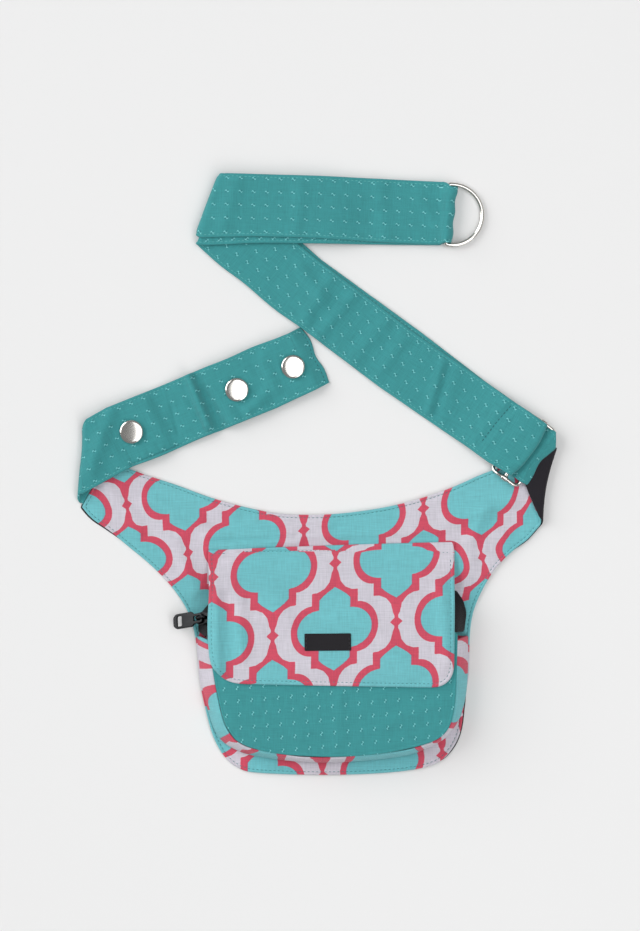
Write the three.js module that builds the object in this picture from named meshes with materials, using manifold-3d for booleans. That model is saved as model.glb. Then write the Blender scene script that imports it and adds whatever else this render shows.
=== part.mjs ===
// A belt pouch lying flat on its back. Millimetres, +Z up, origin under the middle of its outline.
// A printed hip panel carries a zipped box pocket under a flap. A long doubled belt with a ring and
// a slide buckle leaves its right wing, and a short strap with three press studs leaves its left wing.
import * as THREE from 'three';
import { mergeVertices } from 'three/addons/utils/BufferGeometryUtils.js';
import Module from 'manifold-3d';

// Cloth, webbing and the play between neighbours
const GAP = 0.3;
const PANEL_CLOTH = 1.0;
const POCKET_CLOTH = 1.2;
const WEBBING = 1.4;
const BELT_WIDTH = 40;
const LAYER = WEBBING + GAP;
const FLOOR_LAYER = 0.8;

// Heights of the layers, measured to the middle of the cloth
const LINING_Z = PANEL_CLOTH / 2;
const HIP_Z = LINING_Z + PANEL_CLOTH + GAP;
const HIP_TOP_Z = HIP_Z + PANEL_CLOTH / 2;
const WING_FOLD_Z = 3.0;
const POCKET_FOOT_Z = HIP_TOP_Z + GAP;
const FACE_RIM_Z = 17.2;
const FACE_CROWN = 2.0;

// Hip panel: upper edge from the left wing end to the right fold, and its width at each level below
const HIP_TOP_EDGE = [
  { x: -136, y: 9 },
  { x: -109.4, y: -1.6 },
  { x: -70.6, y: -15.2 },
  { x: -31.9, y: -24.8 },
  { x: -5, y: -26.6 },
  { x: 22, y: -25 },
  { x: 53.2, y: -19.7 },
  { x: 84.2, y: -10 },
  { x: 111.3, y: 1.6 },
];
const HIP_LEVELS = [
  { y: -42.9, left: -126.8, right: 133.2 },
  { y: -58.4, left: -108.1, right: 117.1 },
  { y: -73.9, left: -93.2, right: 106.8 },
  { y: -90, left: -83.1, right: 100.2 },
  { y: -107.4, left: -78.4, right: 98 },
  { y: -131.9, left: -76.2, right: 97.9 },
  { y: -152.6, left: -72, right: 95.2 },
  { y: -170, left: -67, right: 91 },
  { y: -182.9, left: -59.7, right: 82.3 },
  { y: -189.2, left: -52, right: 70 },
  { y: -192.8, left: -40, right: 45 },
];
const HIP_BOTTOM = { x: 5, y: -194.3 };
const LEFT_WING_FOOT = { x: -151.2, y: -20.8 };
const RIGHT_FOLD_TOP = { x: 149.8, y: 13.5 };
const RIGHT_FOLD_FOOT = { x: 142.4, y: -31.5 };
const RIGHT_SEAM = { x: 141.8, y: 4, cross: 53, width: 25 };
const WING_OVERLAP = 2;

// Box pocket: its teal face and the foot and rim of its printed side wall, a row for each section
const FACE_TOP_Y = -102.3;
const FACE_LEVELS = [
  { y: FACE_TOP_Y, left: -69.4, right: 88.7 },
  { y: -128, left: -65.6, right: 88.1 },
  { y: -146, left: -62, right: 87.2 },
  { y: -158.4, left: -59, right: 84.8 },
  { y: -166, left: -55.2, right: 81.2 },
  { y: -172, left: -50.6, right: 73.5 },
  { y: -177, left: -40, right: 57 },
  { y: -180.6, left: -22, right: 38 },
];
const FACE_BOTTOM = { x: 9, y: -182.2 };
const FACE_CENTRE = { x: 9.6, y: -140, halfWidth: 80, halfHeight: 46 };
const GUSSET_SECTIONS = [
  { footX: -77.4, footY: -103, rimX: -70.4, rimY: -102.8 },
  { footX: -75.2, footY: -131.9, rimX: -66.6, rimY: -128.7 },
  { footX: -71, footY: -150, rimX: -63.2, rimY: -146.5 },
  { footX: -67.2, footY: -163.2, rimX: -59.8, rimY: -160.2 },
  { footX: -62, footY: -171.6, rimX: -55.4, rimY: -168.6 },
  { footX: -53, footY: -177.6, rimX: -50, rimY: -174.2 },
  { footX: -40, footY: -181.8, rimX: -39.2, rimY: -178.6 },
  { footX: -12, footY: -185.4, rimX: -11, rimY: -183.2 },
  { footX: 17.7, footY: -185.8, rimX: 17.7, rimY: -183.2 },
  { footX: 53.2, footY: -182.2, rimX: 52, rimY: -179.6 },
  { footX: 68, footY: -178, rimX: 65.2, rimY: -176.2 },
  { footX: 81, footY: -170.8, rimX: 77.4, rimY: -171.4 },
  { footX: 89, footY: -161.5, rimX: 83.6, rimY: -164.4 },
  { footX: 93.4, footY: -151.5, rimX: 86.6, rimY: -156 },
  { footX: 96, footY: -138, rimX: 88.4, rimY: -142 },
  { footX: 96.8, footY: -120, rimX: 89.2, rimY: -122 },
  { footX: 96.8, footY: -103, rimX: 89.7, rimY: -102.8 },
];
const GUSSET_BULGE = 0.9;
const GUSSET_ROWS = 3;
const GUSSET_STEPS = 2;

// Zip: the black tape slopes from the hip panel up to the rim of the teal face
const TAPE_TOP_Y = -76;
const TAPE_RIM_Y = -101.4;
const TAPE_LEFT = { foot: -77.6, rim: -68 };
const TAPE_RIGHT = { foot: 96.4, rim: 87 };
const TAPE_FOOT_Z = POCKET_FOOT_Z + POCKET_CLOTH / 2;
const TAPE_RIM_Z = 16.6;
const COIL = { y: -92, left: -64, right: 83, width: 6, height: 1.4 };
const SLIDER = { x: -73, y: -92.8, lift: 4.8, length: 9, width: 8, height: 2.6 };
const SLIDER_TILT = { yaw: 13, pitch: -32, roll: -18 };
const BRIDGE = { length: 7.6, height: 4.0, bar: 1.1, width: 2, root: 0.4 };
const PULL = { thickness: 1.6, neck: 6.4, tab: 9.8, reach: 20.5, crossbar: 0.8, shoulder: 1.5, pitch: 6 };
const PULL_EYE = { from: 0.8, to: 5.4, width: 3 };
const PULL_SLOT = { at: 15.8, length: 6.4, width: 2.2 };

// Flap: seam and side edges, with its lower corners rounded
const FLAP_CORNERS = {
  seamLeft: { x: -70.8, y: -49.4 },
  seamMiddle: { x: 8.1, y: -45.7 },
  seamRight: { x: 88.3, y: -44 },
  footRight: { x: 87.4, y: -136.8, radius: 14 },
  footLeft: { x: -70.4, y: -134.4, radius: 17 },
};
const FLAP_ROOT_Z = HIP_TOP_Z + GAP + POCKET_CLOTH / 2;
const FLAP_RISE = { from: -50, to: -94 };
const FLAP_CLEARANCE = POCKET_CLOTH + GAP;
const LABEL = { x: 6.6, y: -109.2, width: 29.7, height: 11, thickness: 0.7, tilt: 0.5 };

// Metal: the ring at the belt's end and the slide buckle
const RING = { x: 83.6, y: 166.8, z: 3.3, wire: 1.4, radius: 19.4, arm: 3.2, corner: 3 };
const RING_TILT = { yaw: -2.7, pitch: 4.6 };
const BUCKLE = { x: 133.8, y: 16.5, heading: 144.5, wire: 1.25, length: 46, width: 22.6, corner: 4 };
const BUCKLE_BAR_Z = 4.0;
const CENTRE_BAR_Z = 7.5;
const BAR_OFFSET = BUCKLE.width / 2 - BUCKLE.wire;
const BAR_PLAY = 0.35;
const KNOB = { radius: 2.0, length: 4.4, sides: 12 };

// Belt: heights and widths along its one long run, from the right wing to the buckle's centre bar
const OVER_BAR_Z = BUCKLE_BAR_Z + BUCKLE.wire + BAR_PLAY + WEBBING / 2;
const BAR_LOOP = BUCKLE.wire + BAR_PLAY + WEBBING / 2;
const TAIL_END = 24;
const TAIL_Z = 3.9;
const SECOND_LAYER = FLOOR_LAYER + LAYER;
const INNER_FOLD_Z = SECOND_LAYER + 2.4;
const RING_LOOP_Z = 2 * RING.z - FLOOR_LAYER;
const RING_LOOP_WIDTH = 34;
const BUCKLE_PINCH = 38.6;
const BUCKLE_EASE = 39;
const ACROSS_BELT = BUCKLE.heading - 90;

// A stop is the middle of a line across the belt. It is placed by x and y, or along the belt from the
// buckle, and a fold stop turns the belt over.
const BELT_STOPS = [
  { at: 'right wing seam', x: 141.3, y: 4.4, z: 4.85, width: 25, cross: 53 },
  { at: 'over the near bar', along: -BAR_OFFSET, z: OVER_BAR_Z, width: BUCKLE_PINCH, cross: ACROSS_BELT },
  { at: 'under the centre bar', along: 0, z: CENTRE_BAR_Z - BAR_LOOP - LAYER, width: BUCKLE_PINCH },
  { at: 'over the far bar', along: BAR_OFFSET, z: OVER_BAR_Z, width: BUCKLE_EASE },
  { at: 'under the tail', along: TAIL_END, z: TAIL_Z, width: BELT_WIDTH },
  { at: 'down on the floor', along: 46, z: FLOOR_LAYER, width: BELT_WIDTH },
  { at: 'under run, low', x: 54.8, y: 75.8, z: FLOOR_LAYER, width: BELT_WIDTH },
  { at: 'under run, high', x: -9.7, y: 122.7, z: FLOOR_LAYER, width: BELT_WIDTH },
  { at: 'outer fold, floor', x: -68, y: 173.4, z: FLOOR_LAYER, width: BELT_WIDTH },
  { at: 'outer fold, top', x: -68, y: 173.4, z: INNER_FOLD_Z + LAYER, width: BELT_WIDTH, fold: true },
  { at: 'top run, left', x: 0, y: 170.8, z: INNER_FOLD_Z + LAYER, width: BELT_WIDTH },
  { at: 'top run, right', x: 45, y: 168.6, z: SECOND_LAYER, width: BELT_WIDTH },
  { at: 'top run, by the ring', x: 75, y: 167.2, z: SECOND_LAYER, width: BELT_WIDTH },
  { at: 'ring loop, top', x: RING.x, y: RING.y, z: RING_LOOP_Z, width: RING_LOOP_WIDTH },
  { at: 'ring loop, floor', x: RING.x, y: RING.y, z: FLOOR_LAYER, width: RING_LOOP_WIDTH, fold: true },
  { at: 'return run, by the ring', x: 75, y: 166.9, z: FLOOR_LAYER, width: BELT_WIDTH },
  { at: 'return run, right', x: 45, y: 167.1, z: FLOOR_LAYER, width: BELT_WIDTH },
  { at: 'return run, left', x: 0, y: 167.4, z: INNER_FOLD_Z, width: BELT_WIDTH },
  { at: 'inner fold, top', x: -69.6, y: 168.8, z: INNER_FOLD_Z, width: BELT_WIDTH },
  { at: 'inner fold, floor', x: -69.6, y: 168.8, z: SECOND_LAYER, width: BELT_WIDTH, fold: true },
  { at: 'over run, high', x: -10.5, y: 121.6, z: SECOND_LAYER, width: BELT_WIDTH },
  { at: 'over run, low', x: 53.2, y: 73.6, z: SECOND_LAYER, width: BELT_WIDTH },
  { at: 'up from the floor', along: 50, z: SECOND_LAYER, width: BELT_WIDTH },
  { at: 'over the tail', along: TAIL_END, z: TAIL_Z + 2 * LAYER, width: BELT_WIDTH },
  { at: 'over the far bar again', along: BAR_OFFSET, z: OVER_BAR_Z + 2 * LAYER, width: BUCKLE_EASE },
  { at: 'centre bar loop, top', along: 0, z: CENTRE_BAR_Z + BAR_LOOP, width: BUCKLE_PINCH },
  { at: 'centre bar loop, foot', along: 0, z: CENTRE_BAR_Z - BAR_LOOP, width: BUCKLE_PINCH, fold: true },
  { at: 'tail over the far bar', along: BAR_OFFSET, z: OVER_BAR_Z + LAYER, width: BUCKLE_EASE },
  { at: 'tail end', along: TAIL_END, z: TAIL_Z + LAYER, width: BELT_WIDTH },
];

// Press studs on the short strap
const SNAPS = [
  { x: -119.7, y: 26.8, back: 'stud' },
  { x: -51.9, y: 53.9, back: 'socket' },
  { x: -15.8, y: 68.7, back: 'socket' },
];
const SNAP = { cap: 7.75, dome: 2.3, post: 2.2, hole: 2.5, back: 5.8, backHeight: 3.2, tip: 3 };
const POST_DEPTH = 1;
const SNAP_FLOOR = 0.1;
const SNAP_SIDES = 18;
const CAP_DOME = [
  { radius: 0.96, rise: 0 },
  { radius: 1, rise: 0.22 },
  { radius: 0.9, rise: 0.62 },
  { radius: 0.6, rise: 0.9 },
  { radius: 0, rise: 1 },
];

// Short strap: sewn to the left wing, folded over, then level at each press stud. Its stops are placed
// by x and y, or along the strap from a press stud.
const SNAP_STRAP_Z = SNAP_FLOOR + SNAP.backHeight + GAP + WEBBING / 2;
const SNAP_STRAP_WIDTH = 41;
const SNAP_END_WIDTH = 38.6;
const SNAP_FLAT = 8;
const [STUD, SOCKET, END_SOCKET] = SNAPS;
const SNAP_STRAP_STOPS = [
  { at: 'left wing seam', x: -143.95, y: -5.75, z: 1.15, width: 33, cross: 63 },
  { at: 'wing fold, floor', x: -150.7, y: 0, z: 1.15, width: 38, cross: 87 },
  { at: 'wing fold, top', x: -150, y: 9.5, z: 6.2, width: 46, cross: 87, fold: true },
  { at: 'before the stud', snap: STUD, along: -SNAP_FLAT, z: SNAP_STRAP_Z, width: SNAP_STRAP_WIDTH },
  { at: 'past the stud', snap: STUD, along: SNAP_FLAT, z: SNAP_STRAP_Z, width: SNAP_STRAP_WIDTH },
  { at: 'first dip', snap: STUD, along: 24, z: 1.6, width: SNAP_STRAP_WIDTH },
  { at: 'middle wave', snap: STUD, along: 45, z: 3.2, width: SNAP_STRAP_WIDTH },
  { at: 'second dip', snap: SOCKET, along: -18, z: 2.0, width: SNAP_STRAP_WIDTH },
  { at: 'before the socket', snap: SOCKET, along: -SNAP_FLAT, z: SNAP_STRAP_Z, width: SNAP_STRAP_WIDTH },
  { at: 'past the socket', snap: SOCKET, along: SNAP_FLAT, z: SNAP_STRAP_Z, width: SNAP_STRAP_WIDTH },
  { at: 'last dip', snap: SOCKET, along: 19.5, z: 3.4, width: SNAP_STRAP_WIDTH },
  { at: 'before the end socket', snap: END_SOCKET, along: -SNAP_FLAT, z: SNAP_STRAP_Z, width: BELT_WIDTH },
  { at: 'past the end socket', snap: END_SOCKET, along: 6.4, z: SNAP_STRAP_Z, width: SNAP_END_WIDTH },
  { at: 'cut end', x: -1.6, y: 75.6, z: 1.0, width: SNAP_END_WIDTH, cross: 118.8 },
];

// Fineness of the surfaces
const FOLD_STEPS = 8;
const WIRE_SIDES = 8;
const OUTLINE_STEPS = 4;
const BELT_MESH = { alongRun: 4, across: 1 };
const SNAP_STRAP_MESH = { alongRun: 3, across: 3 };
const WING_MESH = { alongRun: 2, across: 1 };
const BUCKLE_STEPS = 64;
const RING_STEPS = 56;
const DRAPE_STEP = {
  face: { x: 13, y: 10 },
  tape: { x: 4.5, y: 9 },
  coil: { x: 6, y: 4 },
  flap: { x: 13, y: 7.5 },
  label: { x: 8, y: 6 },
};
const DRAPE_MARGIN = 1;
const PRISM_DEPTH = 60;
const WELD = 1e-4;

// Colours of the pieces
const FINISHES = {
  print: { color: 0x9fc6cc, roughness: 0.9, metalness: 0 },
  teal: { color: 0x459494, roughness: 0.9, metalness: 0 },
  black: { color: 0x232026, roughness: 0.9, metalness: 0 },
  nickel: { color: 0xc9c7c2, roughness: 0.25, metalness: 1 },
  gunmetal: { color: 0x3a3c3f, roughness: 0.4, metalness: 0.8 },
};

const wasm = await Module();
wasm.setup();

const radians = THREE.MathUtils.degToRad;
const lerp = THREE.MathUtils.lerp;
const ease = THREE.MathUtils.smoothstep;

const pouch = new THREE.Group();

function addPiece(name, geometry, finish, parent = pouch) {
  const mesh = new THREE.Mesh(geometry, new THREE.MeshStandardMaterial(FINISHES[finish]));
  mesh.name = name;
  parent.add(mesh);
  return mesh;
}

// Solids for joining and cutting

function toSolid(geometry) {
  const bare = geometry.clone();
  bare.deleteAttribute('normal');
  bare.deleteAttribute('uv');
  const merged = mergeVertices(bare, WELD);
  return new wasm.Manifold(new wasm.Mesh({
    numProp: 3,
    vertProperties: new Float32Array(merged.attributes.position.array),
    triVerts: new Uint32Array(merged.index.array),
  }));
}

function toGeometry(solid) {
  const mesh = solid.getMesh();
  const geometry = new THREE.BufferGeometry();
  geometry.setAttribute('position', new THREE.BufferAttribute(mesh.vertProperties, 3));
  geometry.setIndex(new THREE.BufferAttribute(mesh.triVerts, 1));
  geometry.computeVertexNormals();
  return geometry;
}

const joined = (first, ...others) => toGeometry(
  others.reduce((solid, other) => solid.add(toSolid(other)), toSolid(first)));

const cut = (body, ...tools) => toGeometry(
  tools.reduce((solid, tool) => solid.subtract(toSolid(tool)), toSolid(body)));

// Cloth as a wall of even thickness either side of a grid of points on its middle surface

function gridNormal(grid, i, j) {
  const last = grid.length - 1;
  const side = grid[0].length - 1;
  const along = grid[Math.min(i + 1, last)][j].clone().sub(grid[Math.max(i - 1, 0)][j]);
  const across = grid[i][Math.min(j + 1, side)].clone().sub(grid[i][Math.max(j - 1, 0)]);
  return along.cross(across).normalize();
}

function clothWall(grid, thickness) {
  const rows = grid.length;
  const columns = grid[0].length;
  const positions = [];
  for (const side of [0.5, -0.5]) {
    for (let i = 0; i < rows; i += 1) {
      for (let j = 0; j < columns; j += 1) {
        const point = grid[i][j].clone().addScaledVector(gridNormal(grid, i, j), side * thickness);
        positions.push(point.x, point.y, point.z);
      }
    }
  }
  const upper = (i, j) => i * columns + j;
  const lower = (i, j) => rows * columns + upper(i, j);
  const index = [];
  const quad = (a, b, c, d) => index.push(a, b, c, a, c, d);
  for (let i = 0; i + 1 < rows; i += 1) {
    for (let j = 0; j + 1 < columns; j += 1) {
      quad(upper(i, j), upper(i + 1, j), upper(i + 1, j + 1), upper(i, j + 1));
      quad(lower(i, j), lower(i, j + 1), lower(i + 1, j + 1), lower(i + 1, j));
    }
    quad(upper(i, 0), lower(i, 0), lower(i + 1, 0), upper(i + 1, 0));
    const end = columns - 1;
    quad(upper(i, end), upper(i + 1, end), lower(i + 1, end), lower(i, end));
  }
  for (let j = 0; j + 1 < columns; j += 1) {
    const end = rows - 1;
    quad(upper(0, j), upper(0, j + 1), lower(0, j + 1), lower(0, j));
    quad(upper(end, j), lower(end, j), lower(end, j + 1), upper(end, j + 1));
  }
  const geometry = new THREE.BufferGeometry();
  geometry.setAttribute('position', new THREE.Float32BufferAttribute(positions, 3));
  geometry.setIndex(index);
  return geometry;
}

// Flat cloth of a given outline
function flatCloth(shape, middleZ, thickness) {
  const settings = { depth: thickness, bevelEnabled: false, curveSegments: OUTLINE_STEPS };
  return new THREE.ExtrudeGeometry(shape, settings).translate(0, 0, middleZ - thickness / 2);
}

// Cloth of a given outline draped over a height function
function drapedCloth(shape, heightAt, thickness, step) {
  const settings = { depth: PRISM_DEPTH, bevelEnabled: false, curveSegments: OUTLINE_STEPS };
  const prism = new THREE.ExtrudeGeometry(shape, settings).translate(0, 0, -PRISM_DEPTH / 2);
  prism.computeBoundingBox();
  const { min, max } = prism.boundingBox;
  const columns = Math.ceil((max.x - min.x) / step.x) + 1;
  const rows = Math.ceil((max.y - min.y) / step.y) + 1;
  const grid = [];
  for (let i = 0; i <= columns; i += 1) {
    const x = lerp(min.x - DRAPE_MARGIN, max.x + DRAPE_MARGIN, i / columns);
    const line = [];
    for (let j = 0; j <= rows; j += 1) {
      const y = lerp(min.y - DRAPE_MARGIN, max.y + DRAPE_MARGIN, j / rows);
      line.push(new THREE.Vector3(x, y, heightAt(x, y)));
    }
    grid.push(line);
  }
  return toGeometry(toSolid(clothWall(grid, thickness)).intersect(toSolid(prism)));
}

const outlinePoint = ({ x, y }) => new THREE.Vector2(x, y);

// A strap laid along its table of stops

function headingBetween(from, to) {
  return Math.atan2(to.y - from.y, to.x - from.x);
}

function crossLines(stops) {
  const lines = [];
  stops.forEach((stop, i) => {
    const before = stops[i - (stop.fold ? 2 : 1)];
    const after = stops[i + (stops[i + 1]?.fold ? 2 : 1)];
    const turns = stop.fold || stops[i + 1]?.fold;
    const cameBy = before ? headingBetween(before, stop) : headingBetween(stop, after);
    const goesBy = after ? headingBetween(stop, after) : cameBy;
    const mean = (cameBy + goesBy) / 2;
    const isSet = stop.cross !== undefined;
    const angle = isSet ? radians(stop.cross) : mean + (turns ? 0 : Math.PI / 2);
    const slant = isSet ? 1 : Math.abs(Math.sin(angle - cameBy));
    const half = new THREE.Vector3(Math.cos(angle), Math.sin(angle), 0);
    half.multiplyScalar(stop.width / slant / 2);
    if (lines.length && half.dot(lines[lines.length - 1].half) < 0) {
      half.negate();
    }
    const heading = new THREE.Vector3(Math.cos(cameBy), Math.sin(cameBy), 0);
    lines.push({ middle: new THREE.Vector3(stop.x, stop.y, stop.z), half, heading, fold: stop.fold });
  });
  return lines;
}

function strapGrid(stops, { alongRun, across }) {
  const lines = crossLines(stops);
  const grid = [];
  for (let i = 0; i + 1 < lines.length; i += 1) {
    const from = lines[i];
    const to = lines[i + 1];
    const steps = to.fold ? FOLD_STEPS : alongRun;
    const outward = new THREE.Vector3(from.half.y, -from.half.x, 0).normalize();
    const foldRadius = Math.abs(to.middle.z - from.middle.z) / 2;
    outward.multiplyScalar(Math.sign(outward.dot(from.heading)) * foldRadius);
    const isLast = i + 2 === lines.length;
    for (let k = 0; k < steps + (isLast ? 1 : 0); k += 1) {
      const share = k / steps;
      const eased = (1 - Math.cos(Math.PI * share)) / 2;
      const middle = from.middle.clone().lerp(to.middle, to.fold ? eased : share);
      middle.z = lerp(from.middle.z, to.middle.z, eased);
      if (to.fold) {
        middle.addScaledVector(outward, Math.sin(Math.PI * share));
      }
      const half = from.half.clone().lerp(to.half, share);
      const line = [];
      for (let j = 0; j <= across; j += 1) {
        line.push(middle.clone().addScaledVector(half, 1 - (2 * j) / across));
      }
      grid.push(line);
    }
  }
  return grid;
}

// Wire bent into a closed loop. The points go round once and `up` is the loop's own normal.
function wireLoop(points, radius, up) {
  const positions = [];
  const index = [];
  const count = points.length;
  points.forEach((point, i) => {
    const tangent = points[(i + 1) % count].clone().sub(points[(i + count - 1) % count]).normalize();
    const side = tangent.clone().cross(up).normalize();
    const rise = side.clone().cross(tangent);
    for (let k = 0; k < WIRE_SIDES; k += 1) {
      const turn = (2 * Math.PI * k) / WIRE_SIDES;
      const rim = point.clone();
      rim.addScaledVector(side, radius * Math.cos(turn)).addScaledVector(rise, radius * Math.sin(turn));
      positions.push(rim.x, rim.y, rim.z);
      const next = (k + 1) % WIRE_SIDES;
      const row = i * WIRE_SIDES;
      const ahead = ((i + 1) % count) * WIRE_SIDES;
      index.push(row + k, ahead + k, ahead + next, row + k, ahead + next, row + next);
    }
  });
  const geometry = new THREE.BufferGeometry();
  geometry.setAttribute('position', new THREE.Float32BufferAttribute(positions, 3));
  geometry.setIndex(index);
  return geometry;
}

// Hip panel and its black lining: flat cloth joined to the wing end that folds over on the right

function hipOutline() {
  const shape = new THREE.Shape();
  shape.moveTo(HIP_TOP_EDGE[0].x, HIP_TOP_EDGE[0].y);
  shape.splineThru([...HIP_TOP_EDGE.slice(1), RIGHT_FOLD_TOP].map(outlinePoint));
  shape.lineTo(RIGHT_FOLD_FOOT.x, RIGHT_FOLD_FOOT.y);
  const right = HIP_LEVELS.map(({ y, right: x }) => ({ x, y }));
  const left = HIP_LEVELS.map(({ y, left: x }) => ({ x, y })).reverse();
  shape.splineThru([...right, HIP_BOTTOM, ...left, LEFT_WING_FOOT].map(outlinePoint));
  shape.closePath();
  return shape;
}

function foldedPanel(flatZ, foldedZ) {
  const flat = flatCloth(hipOutline(), flatZ, PANEL_CLOTH);
  const top = RIGHT_FOLD_TOP;
  const foot = RIGHT_FOLD_FOOT;
  const middle = { x: (top.x + foot.x) / 2, y: (top.y + foot.y) / 2 };
  const line = headingBetween(foot, top);
  const cross = THREE.MathUtils.radToDeg(line);
  const width = Math.hypot(top.x - foot.x, top.y - foot.y);
  const fold = { ...middle, cross, width };
  const inside = {
    x: middle.x - WING_OVERLAP * Math.sin(line),
    y: middle.y + WING_OVERLAP * Math.cos(line),
    cross,
    width: width - WING_OVERLAP,
  };
  const wingEnd = strapGrid([
    { ...inside, z: flatZ },
    { ...fold, z: flatZ },
    { ...fold, z: foldedZ, fold: true },
    { ...RIGHT_SEAM, z: foldedZ },
  ], WING_MESH);
  return joined(flat, clothWall(wingEnd, PANEL_CLOTH));
}

addPiece('back_lining', foldedPanel(LINING_Z, 2 * WING_FOLD_Z - LINING_Z), 'black');
addPiece('hip_panel', foldedPanel(HIP_Z, 2 * WING_FOLD_Z - HIP_Z), 'print');

// Box pocket: teal face, printed side wall and sloping zip

function faceHeight(x, y) {
  const { x: middleX, y: middleY, halfWidth, halfHeight } = FACE_CENTRE;
  const acrossShare = Math.max(0, 1 - ((x - middleX) / halfWidth) ** 2);
  const downShare = Math.max(0, 1 - ((y - middleY) / halfHeight) ** 2);
  return FACE_RIM_Z + FACE_CROWN * acrossShare * downShare;
}

function faceOutline() {
  const shape = new THREE.Shape();
  const right = FACE_LEVELS.map(({ y, right: x }) => ({ x, y }));
  const left = FACE_LEVELS.map(({ y, left: x }) => ({ x, y })).reverse();
  shape.moveTo(right[0].x, right[0].y);
  shape.splineThru([...right.slice(1), FACE_BOTTOM, ...left].map(outlinePoint));
  shape.closePath();
  return shape;
}

function gussetGrid() {
  const feetPoints = GUSSET_SECTIONS.map(({ footX, footY }) => new THREE.Vector2(footX, footY));
  const rimPoints = GUSSET_SECTIONS.map(({ rimX, rimY }) => new THREE.Vector2(rimX, rimY));
  const feet = new THREE.SplineCurve(feetPoints);
  const rims = new THREE.SplineCurve(rimPoints);
  const steps = (GUSSET_SECTIONS.length - 1) * GUSSET_STEPS;
  const footZ = POCKET_FOOT_Z + PANEL_CLOTH / 2;
  const grid = [];
  for (let i = 0; i <= steps; i += 1) {
    const foot = feet.getPoint(i / steps);
    const rim = rims.getPoint(i / steps);
    const ahead = feet.getTangent(i / steps);
    const outward = new THREE.Vector2(ahead.y, -ahead.x);
    const line = [];
    for (let j = 0; j <= GUSSET_ROWS; j += 1) {
      const share = j / GUSSET_ROWS;
      const bulge = GUSSET_BULGE * Math.sin(Math.PI * share);
      const plan = foot.clone().lerp(rim, share).addScaledVector(outward, bulge);
      line.push(new THREE.Vector3(plan.x, plan.y, lerp(footZ, FACE_RIM_Z, share)));
    }
    grid.push(line);
  }
  return grid;
}

function tapeHeight(x, y) {
  const up = THREE.MathUtils.clamp((TAPE_TOP_Y - y) / (TAPE_TOP_Y - TAPE_RIM_Y), 0, 1);
  const leftShare = ease(x, TAPE_LEFT.foot, TAPE_LEFT.rim);
  const rightShare = 1 - ease(x, TAPE_RIGHT.rim, TAPE_RIGHT.foot);
  return lerp(TAPE_FOOT_Z, TAPE_RIM_Z, up * leftShare * rightShare);
}

function rectangle(left, right, bottom, top) {
  const shape = new THREE.Shape();
  shape.moveTo(left, bottom);
  shape.lineTo(right, bottom);
  shape.lineTo(right, top);
  shape.lineTo(left, top);
  shape.closePath();
  return shape;
}

addPiece('front_face', drapedCloth(faceOutline(), faceHeight, POCKET_CLOTH, DRAPE_STEP.face), 'teal');
addPiece('gusset', clothWall(gussetGrid(), PANEL_CLOTH), 'print');
const tapeOutline = rectangle(TAPE_LEFT.foot, TAPE_RIGHT.foot, TAPE_RIM_Y, TAPE_TOP_Y);
addPiece('zip_tape', drapedCloth(tapeOutline, tapeHeight, PANEL_CLOTH, DRAPE_STEP.tape), 'black');
const coilOutline = rectangle(COIL.left, COIL.right, COIL.y - COIL.width / 2, COIL.y + COIL.width / 2);
const coilHeight = (x, y) => tapeHeight(x, y) + PANEL_CLOTH + GAP + COIL.height / 2;
addPiece('zip_coil', drapedCloth(coilOutline, coilHeight, COIL.height, DRAPE_STEP.coil), 'black');

// Zip slider with its bridge, and the pull that swings on the bridge

const sliderSeat = new THREE.Group();
sliderSeat.position.set(SLIDER.x, SLIDER.y, tapeHeight(SLIDER.x, SLIDER.y) + SLIDER.lift);
const { roll, pitch, yaw } = SLIDER_TILT;
sliderSeat.rotation.set(radians(roll), radians(pitch), radians(yaw), 'ZYX');
pouch.add(sliderSeat);

function bridgeGeometry() {
  const { length, height, bar, width, root } = BRIDGE;
  const outer = rectangle(-length / 2, length / 2, 0, height);
  outer.holes.push(rectangle(-length / 2 + bar, length / 2 - bar, root, height - bar));
  const arch = new THREE.ExtrudeGeometry(outer, { depth: width, bevelEnabled: false });
  return arch.translate(0, 0, -width / 2).rotateX(Math.PI / 2);
}

function sliderGeometry() {
  const body = new THREE.BoxGeometry(SLIDER.length, SLIDER.width, SLIDER.height);
  return joined(body, bridgeGeometry().translate(0, 0, SLIDER.height / 2 - BRIDGE.root));
}

function pullGeometry() {
  const { neck, tab, reach, crossbar, shoulder, thickness } = PULL;
  const shape = new THREE.Shape();
  const neckEnd = PULL_EYE.to + shoulder;
  shape.moveTo(crossbar, -neck / 2);
  shape.lineTo(crossbar, neck / 2);
  shape.lineTo(-neckEnd, neck / 2);
  shape.lineTo(-neckEnd - shoulder, tab / 2);
  shape.lineTo(-reach + tab / 4, tab / 2);
  shape.quadraticCurveTo(-reach, tab / 2, -reach, 0);
  shape.quadraticCurveTo(-reach, -tab / 2, -reach + tab / 4, -tab / 2);
  shape.lineTo(-neckEnd - shoulder, -tab / 2);
  shape.lineTo(-neckEnd, -neck / 2);
  shape.closePath();
  shape.holes.push(rectangle(-PULL_EYE.to, -PULL_EYE.from, -PULL_EYE.width / 2, PULL_EYE.width / 2));
  const { at, length, width } = PULL_SLOT;
  shape.holes.push(rectangle(-at - width / 2, -at + width / 2, -length / 2, length / 2));
  const settings = { depth: thickness, bevelEnabled: false, curveSegments: OUTLINE_STEPS };
  return new THREE.ExtrudeGeometry(shape, settings).translate(0, 0, -thickness / 2);
}

addPiece('zip_slider', sliderGeometry(), 'gunmetal', sliderSeat);
const pull = addPiece('zip_pull', pullGeometry(), 'gunmetal', sliderSeat);
pull.position.z = SLIDER.height / 2 + (BRIDGE.height - BRIDGE.bar - BRIDGE.root) / 2;
pull.rotation.y = radians(PULL.pitch);

// Flap and label

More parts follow.
